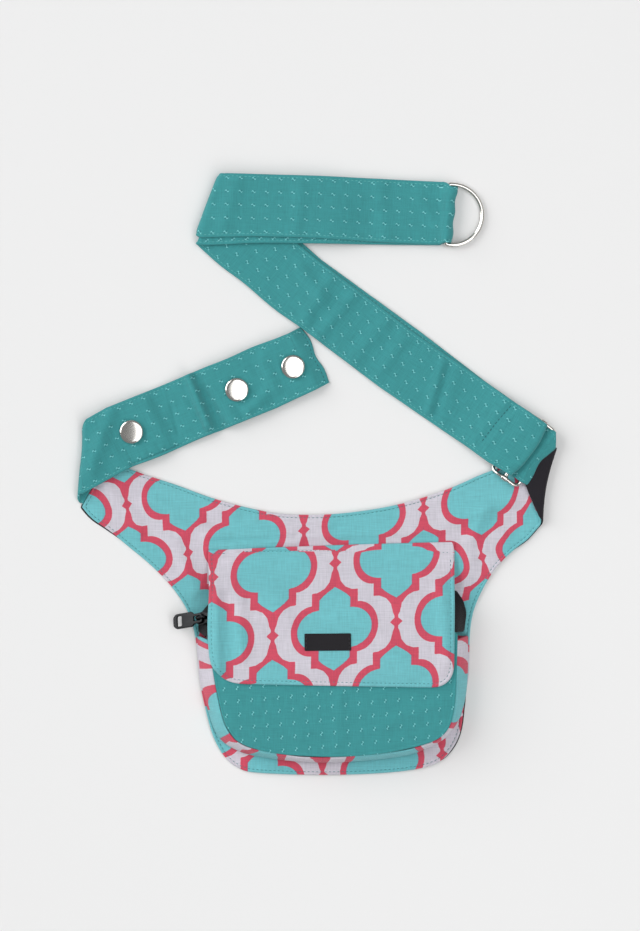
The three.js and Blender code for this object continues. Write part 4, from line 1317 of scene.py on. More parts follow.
def strap_rows(stops, row_step):
    """Middles, half widths, headings and bows of the rows of a strap."""
    lines = cross_lines(stops)
    rows = []
    for number, (start, end) in enumerate(zip(lines, lines[1:])):
        run = end["middle"] - start["middle"]
        steps = FOLD_ROWS if end["fold"] else max(LEAST_ROWS, math.ceil(np.linalg.norm(run) / row_step))
        outward = np.array((start["half"][1], -start["half"][0], 0))
        outward /= np.linalg.norm(outward)
        outward *= math.copysign(abs(run[2]) / 2, outward @ start["heading"])
        in_plan = np.linalg.norm(run[:2])
        heading = start["heading"] if end["fold"] or in_plan < TINY else np.array((*run[:2], 0)) / in_plan
        last = number + 2 == len(lines)
        for k in range(steps + last):
            share = k / steps
            eased = (1 - math.cos(math.pi * share)) / 2
            middle = start["middle"] + run * (eased if end["fold"] else share)
            middle[2] = start["middle"][2] + run[2] * eased
            if end["fold"]:
                middle = middle + outward * math.sin(math.pi * share)
            half = start["half"] + (end["half"] - start["half"]) * share
            bow = start["bow"] + (end["bow"] - start["bow"]) * share
            rows.append((middle, half, heading, bow))
    return [np.array(column) for column in zip(*rows)]


def strap_grid(stops, wave, nudges, row_step):
    """The grid of a strap, with a wave in its height, and each point's place along and across the cloth."""
    middle, half, heading, bow = strap_rows(stops, row_step)
    from_edge = np.array(ACROSS_MARKS) / (STRAP_WIDTH / 2)
    share = np.concatenate([from_edge - 1, [0], (1 - from_edge)[::-1]])
    grid = middle[:, None, :] + share[None, :, None] * half[:, None, :]
    grid += (1 - share ** 2)[None, :, None] * bow[:, None, :]
    grid = nudged(grid, nudges)
    x, y = grid[:, :, 0].ravel(), grid[:, :, 1].ravel()
    grid[:, :, 2] += wave(x, y).reshape(grid.shape[:2])
    lean = np.sum(half * heading, axis=1)
    reach = np.linalg.norm(np.cross(half, heading), axis=1)
    along = run_along(middle)[:, None] + share[None] * lean[:, None]
    across = share[None] * reach[:, None]
    return grid, np.stack([along, across], axis=2)


print("points across a strap:", 2 * len(ACROSS_MARKS) + 1)

# %% [markdown]
# ## Strap cloth and its hems
# A strap is a strip of teal cotton with both edges turned in and topstitched. The thread shows on both sides
# and pulls a groove along each edge. The stitches follow a column of the strap's own grid, so they go round
# every fold with it.

# %% Strap cloth and its hems
STRAP_CLOTH = 1.3
STRAP_HEM = [(0.1, 1.0, 0.5), (-0.16, TOPSTITCH, 0.45)]
HEM_COLUMN = ACROSS_MARKS.index(1.9)
HEM_ENDS = slice(3, -3)


def strap_cloth(name, grid, place):
    """A teal strap on its grid, with the rows of ticks along it."""
    return grid_sheet(
        name, grid, STRAP_CLOTH, TEAL_CLOTH, "teal_cloth", STRAP_HEM,
        cloth=place, ticks=place + (0, TICK_STEP / 2),
    )


def both_sides(grid, rows, columns):
    """A line of the grid as two runs for stitches, one on each side of the strap."""
    upper, lower, _, normal = grid_sides(grid, STRAP_CLOTH, STRAP_HEM)
    return [(upper[rows, columns], normal[rows, columns]), (lower[rows, columns], -normal[rows, columns])]


def strap_hem(grid):
    """Runs of stitches along both edges of a strap."""
    return both_sides(grid, HEM_ENDS, HEM_COLUMN) + both_sides(grid, HEM_ENDS, -1 - HEM_COLUMN)


print("hem stitches lie", ACROSS_MARKS[HEM_COLUMN], "mm from a strap's edge")

# %% [markdown]
# ## The belt's route
# The belt is one strip, almost 90 cm long. It starts at the right wing, goes under the buckle's centre bar,
# runs up to the outer fold, back to the ring, round it, to the inner fold and down again, and its end goes
# round the centre bar and is sewn down. Stops near the buckle are counted from the buckle.

# %% The belt's route
BUCKLE_AT = (133.8, 16.5)
BUCKLE_HEADING = math.radians(144.5)
BAR_OFFSET = 10.05
RING_AT = (83.6, 166.8)
OUTER_FOLD = (-68.0, 173.4)
INNER_FOLD = (-69.6, 168.8)
LOOP_BOW = (2.4, -1.7)


def by_buckle(along, z, width, aside=0.0, **more):
    """A stop at a way along the belt from the buckle, and a way to the left of it."""
    x = BUCKLE_AT[0] + along * math.cos(BUCKLE_HEADING) - aside * math.sin(BUCKLE_HEADING)
    y = BUCKLE_AT[1] + along * math.sin(BUCKLE_HEADING) + aside * math.cos(BUCKLE_HEADING)
    return stop(x, y, z, width, **more)


BELT_STOPS = [
    stop(144.4, 4.2, 4.85, 30, cross=53),
    by_buckle(-BAR_OFFSET, 6.3, 39.4, cross=54.5),
    by_buckle(0, 3.5, 38.6),
    by_buckle(BAR_OFFSET, 6.3, 39),
    by_buckle(24, 3.9, 40),
    by_buckle(46, 0.8, 40),
    stop(54.4, 75.3, 0.8),
    stop(-10.1, 122.2, 0.8),
    stop(*OUTER_FOLD, 0.8),
    stop(*OUTER_FOLD, 6.6, fold=True),
    stop(0, 171.4, 6.6, 40.2),
    stop(45, 169.1, 2.5, 40.8),
    stop(79, 167.5, 2.9, 40.6),
    stop(*RING_AT, 6.1, 35.8),
    stop(*RING_AT, 0.8, 35.8, fold=True),
    stop(79, 166.9, 0.8, 39.6),
    stop(45, 167.4, 0.8),
    stop(0, 167.9, 4.9),
    stop(*INNER_FOLD, 4.9),
    stop(*INNER_FOLD, 2.5, fold=True),
    stop(-11.4, 120.4, 2.5, 41.6),
    stop(52.3, 72.4, 2.5, 41.6),
    by_buckle(50, 2.5, 41.4, aside=1.0),
    by_buckle(24, 7.3, 41, aside=0.7),
    by_buckle(BAR_OFFSET, 9.7, 40.4, bow=LOOP_BOW),
    by_buckle(0, 9.8, 40.4, bow=LOOP_BOW),
    by_buckle(0, 5.2, 39.6, fold=True, bow=LOOP_BOW),
    by_buckle(BAR_OFFSET, 8.0, 39),
    by_buckle(24, 5.6, 40),
]
print("stops of the belt:", len(BELT_STOPS), "folds:", sum("fold" in mark for mark in BELT_STOPS))

# %% [markdown]
# ## Belt
# The belt's cloth lies in soft folds and waves. All layers share one wave, which only depends on the place in
# plan, so that they never cut into each other. A few soft moves bring the edges to their place.

# %% Belt
BELT_RIPPLE = {"height": 0.8, "size": 20.0, "layer": 5.0}
BELT_FOLDS = [
    ((442, 362), (428, 411), 2.2, 2.4),
    ((447.5, 364), (433.5, 413), 1.8, -0.8),
    ((457, 368), (442, 418), 4.5, 1.0),
    ((298, 326), (316, 340), 4.0, 1.6),
    ((506, 400), (474, 440), 2.0, 0.8),
    ((515, 410), (483, 450), 2.0, 0.8),
    ((300, 268), (322, 300), 4.0, 2.0),
    ((330, 278), (306, 318), 4.0, 1.6),
    ((352, 296), (318, 336), 4.0, 2.0),
    ((384, 322), (352, 362), 5.0, 1.8),
    ((404, 338), (376, 378), 4.0, 1.4),
    ((300, 190), (296, 232), 5.0, 1.6),
    ((236, 184), (224, 226), 5.0, 1.4),
    ((380, 186), (384, 236), 5.0, 1.4),
    ((420, 200), (446, 236), 4.0, 1.3),
    ((446, 190), (444, 236), 3.0, 1.0),
]
BELT_NUDGES = [
    ((219, 172.5), 2.6, (0.8, -1.0)),
    ((196, 233), 14.0, (0.0, -1.6)),
    ((196, 236), 3.5, (1.3, 0.0)),
    ((222, 260), 18.0, (-1.2, -1.7)),
    ((268, 300), 18.0, (-0.6, -0.8)),
    ((490, 463), 10.0, (-0.6, -0.8)),
    ((458, 191), 6.0, (2.8, 0.0)),
    ((456.5, 213), 6.0, (2.2, 0.0)),
    ((455, 235), 6.0, (2.4, 0.0)),
    ((445.5, 185), 1.6, (0.0, 0.9)),
    ((445.5, 245), 1.6, (0.0, -0.9)),
    ((543, 466), 8.0, (-1.8, 2.0)),
]


def belt_wave(x, y):
    """Folds and unevenness that never goes below the strap's own height."""
    return ridges(x, y, BELT_FOLDS) + BELT_RIPPLE["height"] + ripple(x, y, **BELT_RIPPLE)


belt_grid, belt_place = strap_grid(BELT_STOPS, belt_wave, BELT_NUDGES, row_step=1.5)
belt = strap_cloth("belt_cloth", belt_grid, belt_place)
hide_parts("belt_strap")
belt_length = float(belt_place[-1, :, 0].mean())
print("belt's flat length in mm:", round(belt_length))
belt_seam = seam("belt_topstitch", strap_hem(belt_grid), STRAP_THREAD, "teal_cloth")

# %% [markdown]
# ## The belt's sewn end
# Behind the buckle the belt's end is sewn to the run that lies over it, and this shows as one dark line of
# stitches across the belt. The thread has to lie on the top run, whose height changes there. So the height is
# read from the belt's own points near the line.

# %% The belt's sewn end
TAIL_SEAM = np.array([at_pixel(*p) for p in ((510.5, 405.5), (496, 422), (478.5, 445))])
NEAR_BY = 1.6
second_half = belt_grid[len(belt_grid) // 2:]
over_sides = grid_sides(second_half, STRAP_CLOTH, STRAP_HEM)[:2]
over_points = np.vstack([side.reshape(-1, 3) for side in over_sides])


def highest_near(x, y):
    """The height of the belt at each place: the highest of its points near by."""
    found = []
    for a, b in zip(x, y):
        near = np.hypot(over_points[:, 0] - a, over_points[:, 1] - b) < NEAR_BY
        found.append(over_points[near, 2].max())
    return np.array(found)


tail_line = spaced(TAIL_SEAM, 1.0, closed=False)
tail_seam = seam("belt_end_stitches", [on_top(tail_line, highest_near)], DARK_THREAD, "teal_cloth")

# %% [markdown]
# ## Short strap
# The short strap is sewn to the left wing, turned over there, and lies level only at its three press studs.
# Between them it dips towards the floor, which gives it a gentle wave. A sharp crease crosses it before the
# second stud: a ridge with a hollow beside it, because light from the left only shades the side that falls
# away. A line of stitches closes its free end.

# %% Short strap
STUDS = np.array(((-119.7, 26.8), (-51.9, 53.9), (-15.8, 68.7)))
STRAP_Z = 4.3
SHORT_WIDTH = 41.0
CALM = {"within": 8.0, "over": 6.0}
SHORT_RIPPLE = {"height": 0.4, "size": 14.0, "layer": 7.0}
END_ROW = -4
END_COLUMNS = slice(4, -4)
stud_heading = math.atan2(*(STUDS[2] - STUDS[0])[::-1])


def by_stud(number, along, z, width=SHORT_WIDTH):
    """A stop along the short strap from a press stud."""
    x, y = STUDS[number] + along * np.array((math.cos(stud_heading), math.sin(stud_heading)))
    return stop(x, y, z, width)


SHORT_STOPS = [
    stop(-143.95, -5.75, 1.15, 33, cross=63),
    stop(-150.7, 0, 1.15, 38, cross=87),
    stop(-150, 11.0, 6.2, 48.5, cross=87, fold=True),
    by_stud(0, -8, STRAP_Z),
    by_stud(0, 8, STRAP_Z),
    by_stud(0, 24, 1.6),
    by_stud(0, 45, 3.2),
    by_stud(1, -18, 2.6),
    by_stud(1, -8, STRAP_Z),
    by_stud(1, 8, STRAP_Z),
    by_stud(1, 19.5, 3.4),
    by_stud(2, -8, STRAP_Z, 40.0),
    by_stud(2, 6.4, STRAP_Z, 38.6),
    stop(-1.6, 75.6, 0.75, 38.6, cross=118.8),
]
SHORT_FOLDS = [
    ((188, 375), (208, 426), 2.5, 3.4),
    ((196, 377), (223, 427), 3.0, -1.5),
    ((131, 465), (181, 444.5), 0.8, -0.9),
    ((204, 374), (232, 420), 4.0, 1.0),
    ((202, 396), (220, 430), 4.0, -1.0),
    ((190, 402), (203, 428), 2.0, -1.0),
    ((171, 404), (178, 433), 1.8, -0.9),
    ((234, 404), (243, 418), 2.0, -0.9),
    ((262, 360), (275, 390), 4.5, 1.9),
    ((248, 410), (266, 394), 3.0, 2.2),
    ((110, 414), (92, 470), 4.5, 2.4),
    ((146, 402), (166, 440), 4.5, 1.6),
    ((100, 440), (128, 470), 4.5, 1.6),
]
SHORT_NUDGES = [
    ((308, 342), 8.0, (2.6, 0.0)),
    ((326, 371), 5.0, (1.2, 0.3)),
    ((321, 365), 4.0, (0.8, 0.2)),
    ((300, 332), 16.0, (-0.7, 2.0)),
    ((255, 350), 16.0, (-0.5, 1.2)),
    ((205, 371), 14.0, (-0.3, 0.6)),
    ((160, 460), 18.0, (0.3, -1.0)),
    ((80, 447), 16.0, (1.2, 0.0)),
]


def short_wave(x, y):
    """Folds and unevenness, none at the press studs, which hold the strap level."""
    to_stud = np.min([np.hypot(x - a, y - b) for a, b in STUDS], axis=0)
    loose = np.clip((to_stud - CALM["within"]) / CALM["over"], 0, 1)
    return loose * (ridges(x, y, SHORT_FOLDS) + SHORT_RIPPLE["height"] + ripple(x, y, **SHORT_RIPPLE))


short_grid, short_place = strap_grid(SHORT_STOPS, short_wave, SHORT_NUDGES, row_step=0.8)
short_strap = strap_cloth("short_strap_cloth", short_grid, short_place)
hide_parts("snap_strap")
short_length = float(short_place[-1, :, 0].mean())
end_runs = both_sides(short_grid, END_ROW, END_COLUMNS)
short_end_seam = seam("short_strap_end_stitches", end_runs, DARK_THREAD, "teal_cloth")
short_seam = seam("short_strap_topstitch", strap_hem(short_grid), STRAP_THREAD, "teal_cloth")
print("short strap's flat length in mm:", round(short_length))

# %% [markdown]
# ## Pocket face
# The pocket is a shallow box. Its teal front is the same cloth as the straps, with its rows of ticks running
# down the pocket, a little askew. It bulges, so its height is a parabola both ways, with three soft folds on
# it. A subdivided box would bulge too, but its edge wouldn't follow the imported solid's rim.

# %% Pocket face
FACE_RIM_Z = 17.2
FACE_DOME = {"crown": 2.0, "middle": (9.6, -140.0), "reach": (80.0, 46.0)}
POCKET_CLOTH = 1.2
FACE_TURN = math.radians(5.3)
FACE_GROW = 1.0
FACE_TUCK = {"by": 2.0, "from": 150.0, "to": 183.0}
FACE_HEM = [(-0.2, TOPSTITCH, 0.6)]
FACE_RIPPLE = {"height": 0.22, "size": 14.0, "layer": 9.0}


def face_height(x, y):
    """The middle of the domed front."""
    off = (np.column_stack([x, y]) - FACE_DOME["middle"]) / FACE_DOME["reach"]
    return FACE_RIM_Z + FACE_DOME["crown"] * np.clip(1 - off ** 2, 0, None).prod(axis=1)


FACE_FOLDS = [
    ((230, 716), (300, 733), 5.0, 1.0),
    ((340, 690), (338, 745), 4.0, 0.8),
    ((380, 724), (440, 702), 5.0, 1.0),
]


def face_relief(x, y, to_edge):
    """The front's hem, its unevenness and its folds."""
    return hem_shape(to_edge, FACE_HEM) + ripple(x, y, **FACE_RIPPLE) + ridges(x, y, FACE_FOLDS)


def face_ticks(x, y):
    """A point's place along and across the rows of ticks."""
    along = -x * math.sin(FACE_TURN) + y * math.cos(FACE_TURN)
    across = x * math.cos(FACE_TURN) + y * math.sin(FACE_TURN)
    return np.column_stack([along, -across])


def tucked(y):
    """The y of the pocket's lower edge, drawn up a little."""
    return y + FACE_TUCK["by"] * ease(-y, FACE_TUCK["from"], FACE_TUCK["to"])


face_loop = moved_in(evened(upper_rim("front_face")), -FACE_GROW)
face_loop[:, 1] = tucked(face_loop[:, 1])
face = sewn_sheet(
    "face_cloth", face_loop, face_height, POCKET_CLOTH, TEAL_CLOTH, "teal_cloth",
    relief=face_relief, cloth=flat_cloth, ticks=face_ticks,
)
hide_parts("front_face")

# %% [markdown]
# ## Side wall
# The pocket's printed side wall leans outwards to the foot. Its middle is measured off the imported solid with
# rays from inside, which saves copying its sections. The wall is one straight strip of cloth, so its print is
# laid out along the strip. At the bottom's middle it carries on from the print on the back.

# %% Side wall
WALL_CENTRE = (9.6, -130.0)
WALL_ANGLES = np.radians(np.linspace(163.4, 376.8, 300))
WALL_LEVELS = np.linspace(3.7, 16.7, 9)
WALL_FOOT_Z = 3.1
WALL_CLOTH = 1.0
WALL_PASSES = 10
PAST_SIDE = 0.1
MIDWAY = len(WALL_ANGLES) // 2


def wall_middle(node):
    """The middle of a standing wall, measured with level rays from inside."""
    tree = BVHTree.FromObject(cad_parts[node], bpy.context.evaluated_depsgraph_get())
    grid = np.zeros((len(WALL_ANGLES), len(WALL_LEVELS), 3))
    for i, angle in enumerate(WALL_ANGLES):
        ray = Vector((math.cos(angle), math.sin(angle), 0))
        for j, height in enumerate(WALL_LEVELS):
            start = Vector((*WALL_CENTRE, height)) * MM
            inner, *_ = tree.ray_cast(start, ray)
            outer, *_ = tree.ray_cast(inner + ray * PAST_SIDE * MM, ray)
            grid[i, j] = (inner + outer) / 2 / MM
    for _ in range(WALL_PASSES):
        grid[1:-1] = (grid[:-2] + 2 * grid[1:-1] + grid[2:]) / 4
    return grid


def carried_on(edge, beside, rise):
    """A wall's edge moved on by a rise, the way that the wall leans there."""
    return (edge + (edge - beside) * rise / (WALL_LEVELS[1] - WALL_LEVELS[0]))[:, None]


wall_grid = wall_middle("gusset")
wall_foot = carried_on(wall_grid[:, 0], wall_grid[:, 1], WALL_LEVELS[0] - WALL_FOOT_Z)
wall_rim = carried_on(wall_grid[:, -1], wall_grid[:, -2], FACE_RIM_Z - WALL_LEVELS[-1])
wall_grid = np.concatenate([wall_foot, wall_grid, wall_rim], axis=1)
levels = wall_grid.shape[1]
wall_run = run_along(wall_grid[:, levels // 2])
wall_rise = run_along(wall_grid[MIDWAY])
wall_place = np.stack(np.meshgrid(wall_run, wall_rise, indexing="ij"), axis=2)
wall_grid[:, :, 1] += np.linspace(0, 1, levels) * (tucked(wall_grid[:, :, 1]) - wall_grid[:, :, 1])
foot_x, foot_y = wall_grid[MIDWAY, 0, :2] + LOW_EASE["move"]
lean = (wall_grid[MIDWAY, -1, 1] - wall_grid[MIDWAY, 0, 1]) / wall_rise[-1]
strip = (wall_place - (wall_run[MIDWAY], 0)) * (1, lean) + (foot_x, foot_y)
wall_print = HIP_PRINT(*strip.reshape(-1, 2).T).reshape(wall_place.shape)
wall = grid_sheet(
    "side_wall_cloth", wall_grid, WALL_CLOTH, PRINTED, "printed_cloth", cloth=wall_place, print=wall_print,
)
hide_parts("gusset")
print("side wall strip in mm:", round(wall_run[-1]), "by", round(wall_rise[-1], 1), "lean:", round(lean, 2))

# %% [markdown]
# ## Zip tape
# The zip's black tape slopes from the back up to the rim of the pocket's face, and comes down to the back at
# both ends. Most of it is hidden under the flap, so a short outline of the part that may show is enough, with
# a height that rises along it and falls off softly at the ends.

# %% Zip tape
TAPE_SLOPE = {"foot": (-76.0, 3.2), "rim": (-101.4, 16.6), "left": (-77.6, -68.0), "right": (87.0, 96.4)}
TAPE_CLOTH = 1.0
TAPE_CUT = [
    (198.5, 631), (206.5, 636.5), (211.5, 632), (464, 631), (466.5, 612), (463, 600),
    (456, 590), (430, 588), (230, 588), (212, 600), (204, 609), (199, 616),
]


def tape_height(x, y):
    """The tape's middle, up the slope and down again at both ends."""
    (foot_y, foot_z), (rim_y, rim_z) = TAPE_SLOPE["foot"], TAPE_SLOPE["rim"]
    up = np.clip((foot_y - y) / (foot_y - rim_y), 0, 1)
    ends = ease(x, *TAPE_SLOPE["left"]) * (1 - ease(x, *TAPE_SLOPE["right"]))
    return foot_z + (rim_z - foot_z) * up * ends


tape_loop = evened(np.array([at_pixel(*p) for p in TAPE_CUT]), step=1.5, passes=2)
tape = sewn_sheet(
    "zip_tape_cloth", tape_loop, tape_height, TAPE_CLOTH, TAPE_BLACK, "black_cloth",
    step=1.8, cloth=flat_cloth,
)
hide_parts("zip_tape")

# %% [markdown]
# ## Zip coil
# A coil zip has no metal teeth. Its coil is one nylon wire wound into loops, made here as a row of flattened
# rings that lean a little and sit on the tape. One long spiral would look the same from above, but closed
# rings make a closed mesh.

# %% Zip coil
COIL = {"y": -92.0, "left": -64.0, "right": 83.0, "width": 5.2, "height": 1.5, "pitch": 1.5, "wire": 0.38}
COIL_LEAN = 0.25
COIL_SEAT = 0.6
COIL_POINTS = 20
ALONG_X = np.array((1.0, 0, 0))


def tube(path, radius, sides, up):
    """Points and faces of a round wire along a closed path."""
    path = np.asarray(path, float)
    ahead = np.roll(path, -1, axis=0) - np.roll(path, 1, axis=0)
    ahead /= np.linalg.norm(ahead, axis=1)[:, None]
    side = np.cross(ahead, up)
    side /= np.linalg.norm(side, axis=1)[:, None]
    rise = np.cross(side, ahead)
    turns = np.linspace(0, 2 * math.pi, sides, endpoint=False)
    ring = np.cos(turns)[None, :, None] * side[:, None] + np.sin(turns)[None, :, None] * rise[:, None]
    points = (path[:, None] + radius * ring).reshape(-1, 3)
    faces = []
    count = len(path)
    for i in range(count):
        for k in range(sides):
            near, far = i * sides, (i + 1) % count * sides
            following = (k + 1) % sides
            faces.append((near + k, far + k, far + following, near + following))
    return points, facing_out(points - points.mean(axis=0), faces)


def coil_loop(x):
    """One flattened ring of the coil."""
    turns = np.linspace(0, 2 * math.pi, COIL_POINTS, endpoint=False)
    y = COIL["y"] + (COIL["width"] / 2 - COIL["wire"]) * np.cos(turns)
    leaning = x + COIL_LEAN * np.sin(turns)
    rise = COIL["height"] / 2 + (COIL["height"] / 2 - COIL["wire"]) * np.sin(turns)
    return np.column_stack([leaning, y, tape_height(leaning, y) + COIL_SEAT + rise])


coil_marks = np.arange(COIL["left"], COIL["right"], COIL["pitch"])
coil_parts = [tube(coil_loop(x), COIL["wire"], sides=7, up=ALONG_X) for x in coil_marks]
coil = write_mesh("zip_coil_loops", *joined(coil_parts), NYLON, "zip_coil")
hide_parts("zip_coil")
print("coil loops:", len(coil_parts))

# %% [markdown]
# ## Flat cast plates
# The zip's slider and pull are flat cast pieces with holes. A filled curve of Blender's makes such a plate at
# once: its outlines give edge and holes, its extrusion the thickness and its bevel the rounded edge. The
# curve's mesh is then taken over, and the object that held the curve is removed.

# %% Flat cast plates
CORNER_SHARE = 0.45
SAME_PLATE_POINT = 1e-4


def rounded(corners, radius, steps=5):
    """A polygon's points with each corner rounded."""
    found = []
    count = len(corners)
    for k in range(count):
        here = np.array(corners[k], float)
        back = np.array(corners[k - 1], float) - here
        onward = np.array(corners[(k + 1) % count], float) - here
        cut = min(radius, CORNER_SHARE * np.linalg.norm(back), CORNER_SHARE * np.linalg.norm(onward))
        start = here + back / np.linalg.norm(back) * cut
        end = here + onward / np.linalg.norm(onward) * cut
        for share in np.linspace(0, 1, steps + 1):
            found.append((1 - share) ** 2 * start + 2 * share * (1 - share) * here + share ** 2 * end)
    return found


def cast_plate(outlines, bottom, top, edge):
    """Points and faces of a flat plate with holes and a rounded edge, from closed outlines."""
    curve = bpy.data.curves.new("plate", "CURVE")
    curve.dimensions = "2D"
    curve.fill_mode = "BOTH"
    curve.extrude = (top - bottom) / 2 - edge
    curve.bevel_depth = edge
    curve.bevel_resolution = 2
    for outline in outlines:
        spline = curve.splines.new("POLY")
        spline.points.add(len(outline) - 1)
        for point, place in zip(spline.points, outline):
            point.co = (*place, 0, 1)
        spline.use_cyclic_u = True
    holder = added("plate", curve)
    shaped = holder.evaluated_get(bpy.context.evaluated_depsgraph_get())
    solid = bmesh.new()
    solid.from_mesh(bpy.data.meshes.new_from_object(shaped))
    bmesh.ops.remove_doubles(solid, verts=solid.verts, dist=SAME_PLATE_POINT)
    bmesh.ops.recalc_face_normals(solid, faces=solid.faces)
    points = [(v.co.x, v.co.y, v.co.z + (top + bottom) / 2) for v in solid.verts]
    faces = [tuple(v.index for v in face.verts) for face in solid.faces]
    solid.free()
    bpy.data.objects.remove(holder)
    return np.array(points), faces


def box_corners(x0, x1, y0, y1):
    """The corners of a rectangle."""
    return [(x0, y0), (x1, y0), (x1, y1), (x0, y1)]


def placed(parts, place):
    """Parts in millimetres moved by a matrix in metres."""
    points, faces = joined(parts)
    moved = [place @ (Vector(p) * MM) / MM for p in points]
    return np.array(moved), faces


def turned_by(**degrees):
    """A matrix that turns round the axes it is given, the last one first."""
    matrix = Matrix.Identity(4)
    for axis, angle in degrees.items():
        matrix = matrix @ Matrix.Rotation(math.radians(angle), 4, axis)
    return matrix


print("corners of a rounded box:", len(rounded(box_corners(0, 4, 0, 2), 0.5)))

# %% [markdown]
# ## Zip slider and pull
# The slider is two plates with the coil between them, a wedge that joins them, and a bridge on top. The pull
# hangs on the bridge by a slot and has a larger slot at its end. It is a piece of its own, because it rides
# the body that swings. Both sit tilted on the tape's slope, with the pull pointing away from the pocket.

# %% Zip slider and pull
SLIDER_SEAT = (-73.0, -92.8, 12.15)
SLIDER_TURNS = {"Z": 13.0, "Y": -32.0, "X": -18.0}
PLATE_SIDE = [(4.5, 2.7), (0.5, 4), (-4.5, 3.2)]
BRIDGE_SIDE = [(3.3, 1.2), (3.3, 3.6), (2.9, 4.1), (2.2, 4.4)]
BRIDGE_FOOT = [(-2.2, 0.9), (2.2, 0.9)]
BRIDGE_WIRE = 0.55
BRIDGE_WIDEN = 1.7
ALONG_Y = np.array((0, 1.0, 0))
PULL_RISE = 2.55
PULL_TURN = 6.0
PULL_SIDE = [(0.5, 2.9), (-5.4, 2.9), (-6.6, 4.6), (-18.2, 4.6), (-20.2, 2.8)]


def mirrored(side):
    """An outline from its one side, mirrored across the x axis."""
    return [*side, *[(x, -y) for x, y in reversed(side)]]


slider_place = Matrix.Translation(Vector(SLIDER_SEAT) * MM) @ turned_by(**SLIDER_TURNS)
plate_outline = rounded(mirrored(PLATE_SIDE), 1.4)
bridge_profile = [*BRIDGE_SIDE, *[(-x, z) for x, z in reversed(BRIDGE_SIDE)], *BRIDGE_FOOT]
bridge_line = spaced(np.array([(x, 0, z) for x, z in bridge_profile]), 0.5)
bridge_points, bridge_faces = tube(bridge_line, BRIDGE_WIRE, sides=10, up=ALONG_Y)
slider_parts = [
    cast_plate([plate_outline], bottom=0.3, top=1.3, edge=0.3),
    cast_plate([plate_outline], bottom=-1.3, top=-0.3, edge=0.3),
    cast_plate([rounded(box_corners(1, 4, -1.2, 1.2), 0.5)], bottom=-0.6, top=0.6, edge=0.1),
    (bridge_points * (1, BRIDGE_WIDEN, 1), bridge_faces),
]
slider = write_mesh("zip_slider_body", *placed(slider_parts, slider_place), GUNMETAL, "gunmetal")
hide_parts("zip_slider")

pull_place = slider_place @ Matrix.Translation((0, 0, PULL_RISE * MM)) @ turned_by(Y=PULL_TURN)
pull_outlines = [
    rounded(mirrored(PULL_SIDE), 1.6),
    rounded(box_corners(-5.7, -0.5, -1.8, 1.8), 0.6),
    rounded(box_corners(-18.0, -13.9, -3.7, 3.7), 1.3),
]
pull_plate = cast_plate(pull_outlines, bottom=-0.8, top=0.8, edge=0.32)
pull = write_mesh("zip_pull_tab", *placed([pull_plate], pull_place), GUNMETAL, "gunmetal", body="pull")
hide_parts("zip_pull")
print("slider faces:", len(slider.data.polygons), "pull faces:", len(pull.data.polygons))

# %% [markdown]
# ## Flap
# The flap is sewn to the back along its upper edge and folded down over the zip. The print on it was cut from
# another place of the cloth than the back's, so it has a lay of its own. A crease runs near its top, and the
# narrow strip above it carries on from cloth that is hidden in the seam, so its print is read further on.

# %% Flap
FLAP_HEM = 2.5
FLAP_OVER_FACE = 1.8
FACE_TOP_EDGE = -102.3
FLAP_ROOT_Z = 3.2
FLAP_FALL = (-94, -50)
HEM_FROM = (60, 75)
CREASE = np.array([at_pixel(*p) for p in ((245, 551.6), (310, 550.6), (400, 551), (456, 552.6))])
CREASE_START = (CREASE[0, 0] - 6, CREASE[0, 0] + 4)
FLAP_PUFF = [(0.3, 1.2, 0.7)]
FLAP_GROOVE = [(-0.3, FLAP_HEM, 0.55)]
CREASE_GROOVE = [(-0.7, 0, 0.7)]
CREASE_BULGE = [(0.9, -3.2, 2.2)]
FLAP_RIPPLE = {"height": 0.18, "size": 15.0, "layer": 2.0}
STRIP_HIDDEN = 8.0
FLAP_FOLDS = [
    ((217, 594), (218, 666), 4.2, 3.4),
    ((240, 600), (243, 655), 4.5, 2.2),
    ((300, 664), (410, 670), 6.0, 1.3),
    ((440, 586), (446, 660), 4.5, 2.4),
    ((330, 575), (420, 568), 5.0, 1.4),
    ((270, 590), (300, 640), 6.0, 1.2),
    ((360, 610), (400, 650), 6.0, 1.0),
]
FLAP_NUDGES = [
    ((208, 686), 13.0, (3.0, 3.0)),
    ((206, 655), 12.0, (0.8, 0.0)),
    ((459, 690), 8.0, (-1.0, 1.0)),
    ((207, 590), 16.0, (1.0, 0.0)),
]


def flap_height(x, y):
    """The flap's middle: over the pocket's face it lies on it, and it falls to the back at its seam."""
    over = face_height(x, np.minimum(y, FACE_TOP_EDGE)) + FLAP_OVER_FACE
    return FLAP_ROOT_Z + (over - FLAP_ROOT_Z) * (1 - ease(y, *FLAP_FALL))


def over_crease(x, y):
    """How far a point lies above the crease, in plan."""
    return y - np.interp(x, CREASE[:, 0], CREASE[:, 1])


def flap_relief(x, y, to_edge):
    """The flap's hem, its crease with the cloth bulging below it, its folds and its unevenness."""
    hem = hem_shape(to_edge, FLAP_PUFF) + hem_shape(to_edge, FLAP_GROOVE) * ease(-y, *HEM_FROM)
    to_crease = over_crease(x, y)
    crease = hem_shape(to_crease, CREASE_GROOVE) * ease(x, *CREASE_START) + hem_shape(to_crease, CREASE_BULGE)
    return hem + crease + ridges(x, y, FLAP_FOLDS) + ripple(x, y, **FLAP_RIPPLE)


def flap_print(x, y):
    """The print on the flap, read further on above the crease."""
    hidden = STRIP_HIDDEN * (over_crease(x, y) > 0) * (x > CREASE[0, 0])
    return FLAP_PRINT(x, y + hidden)


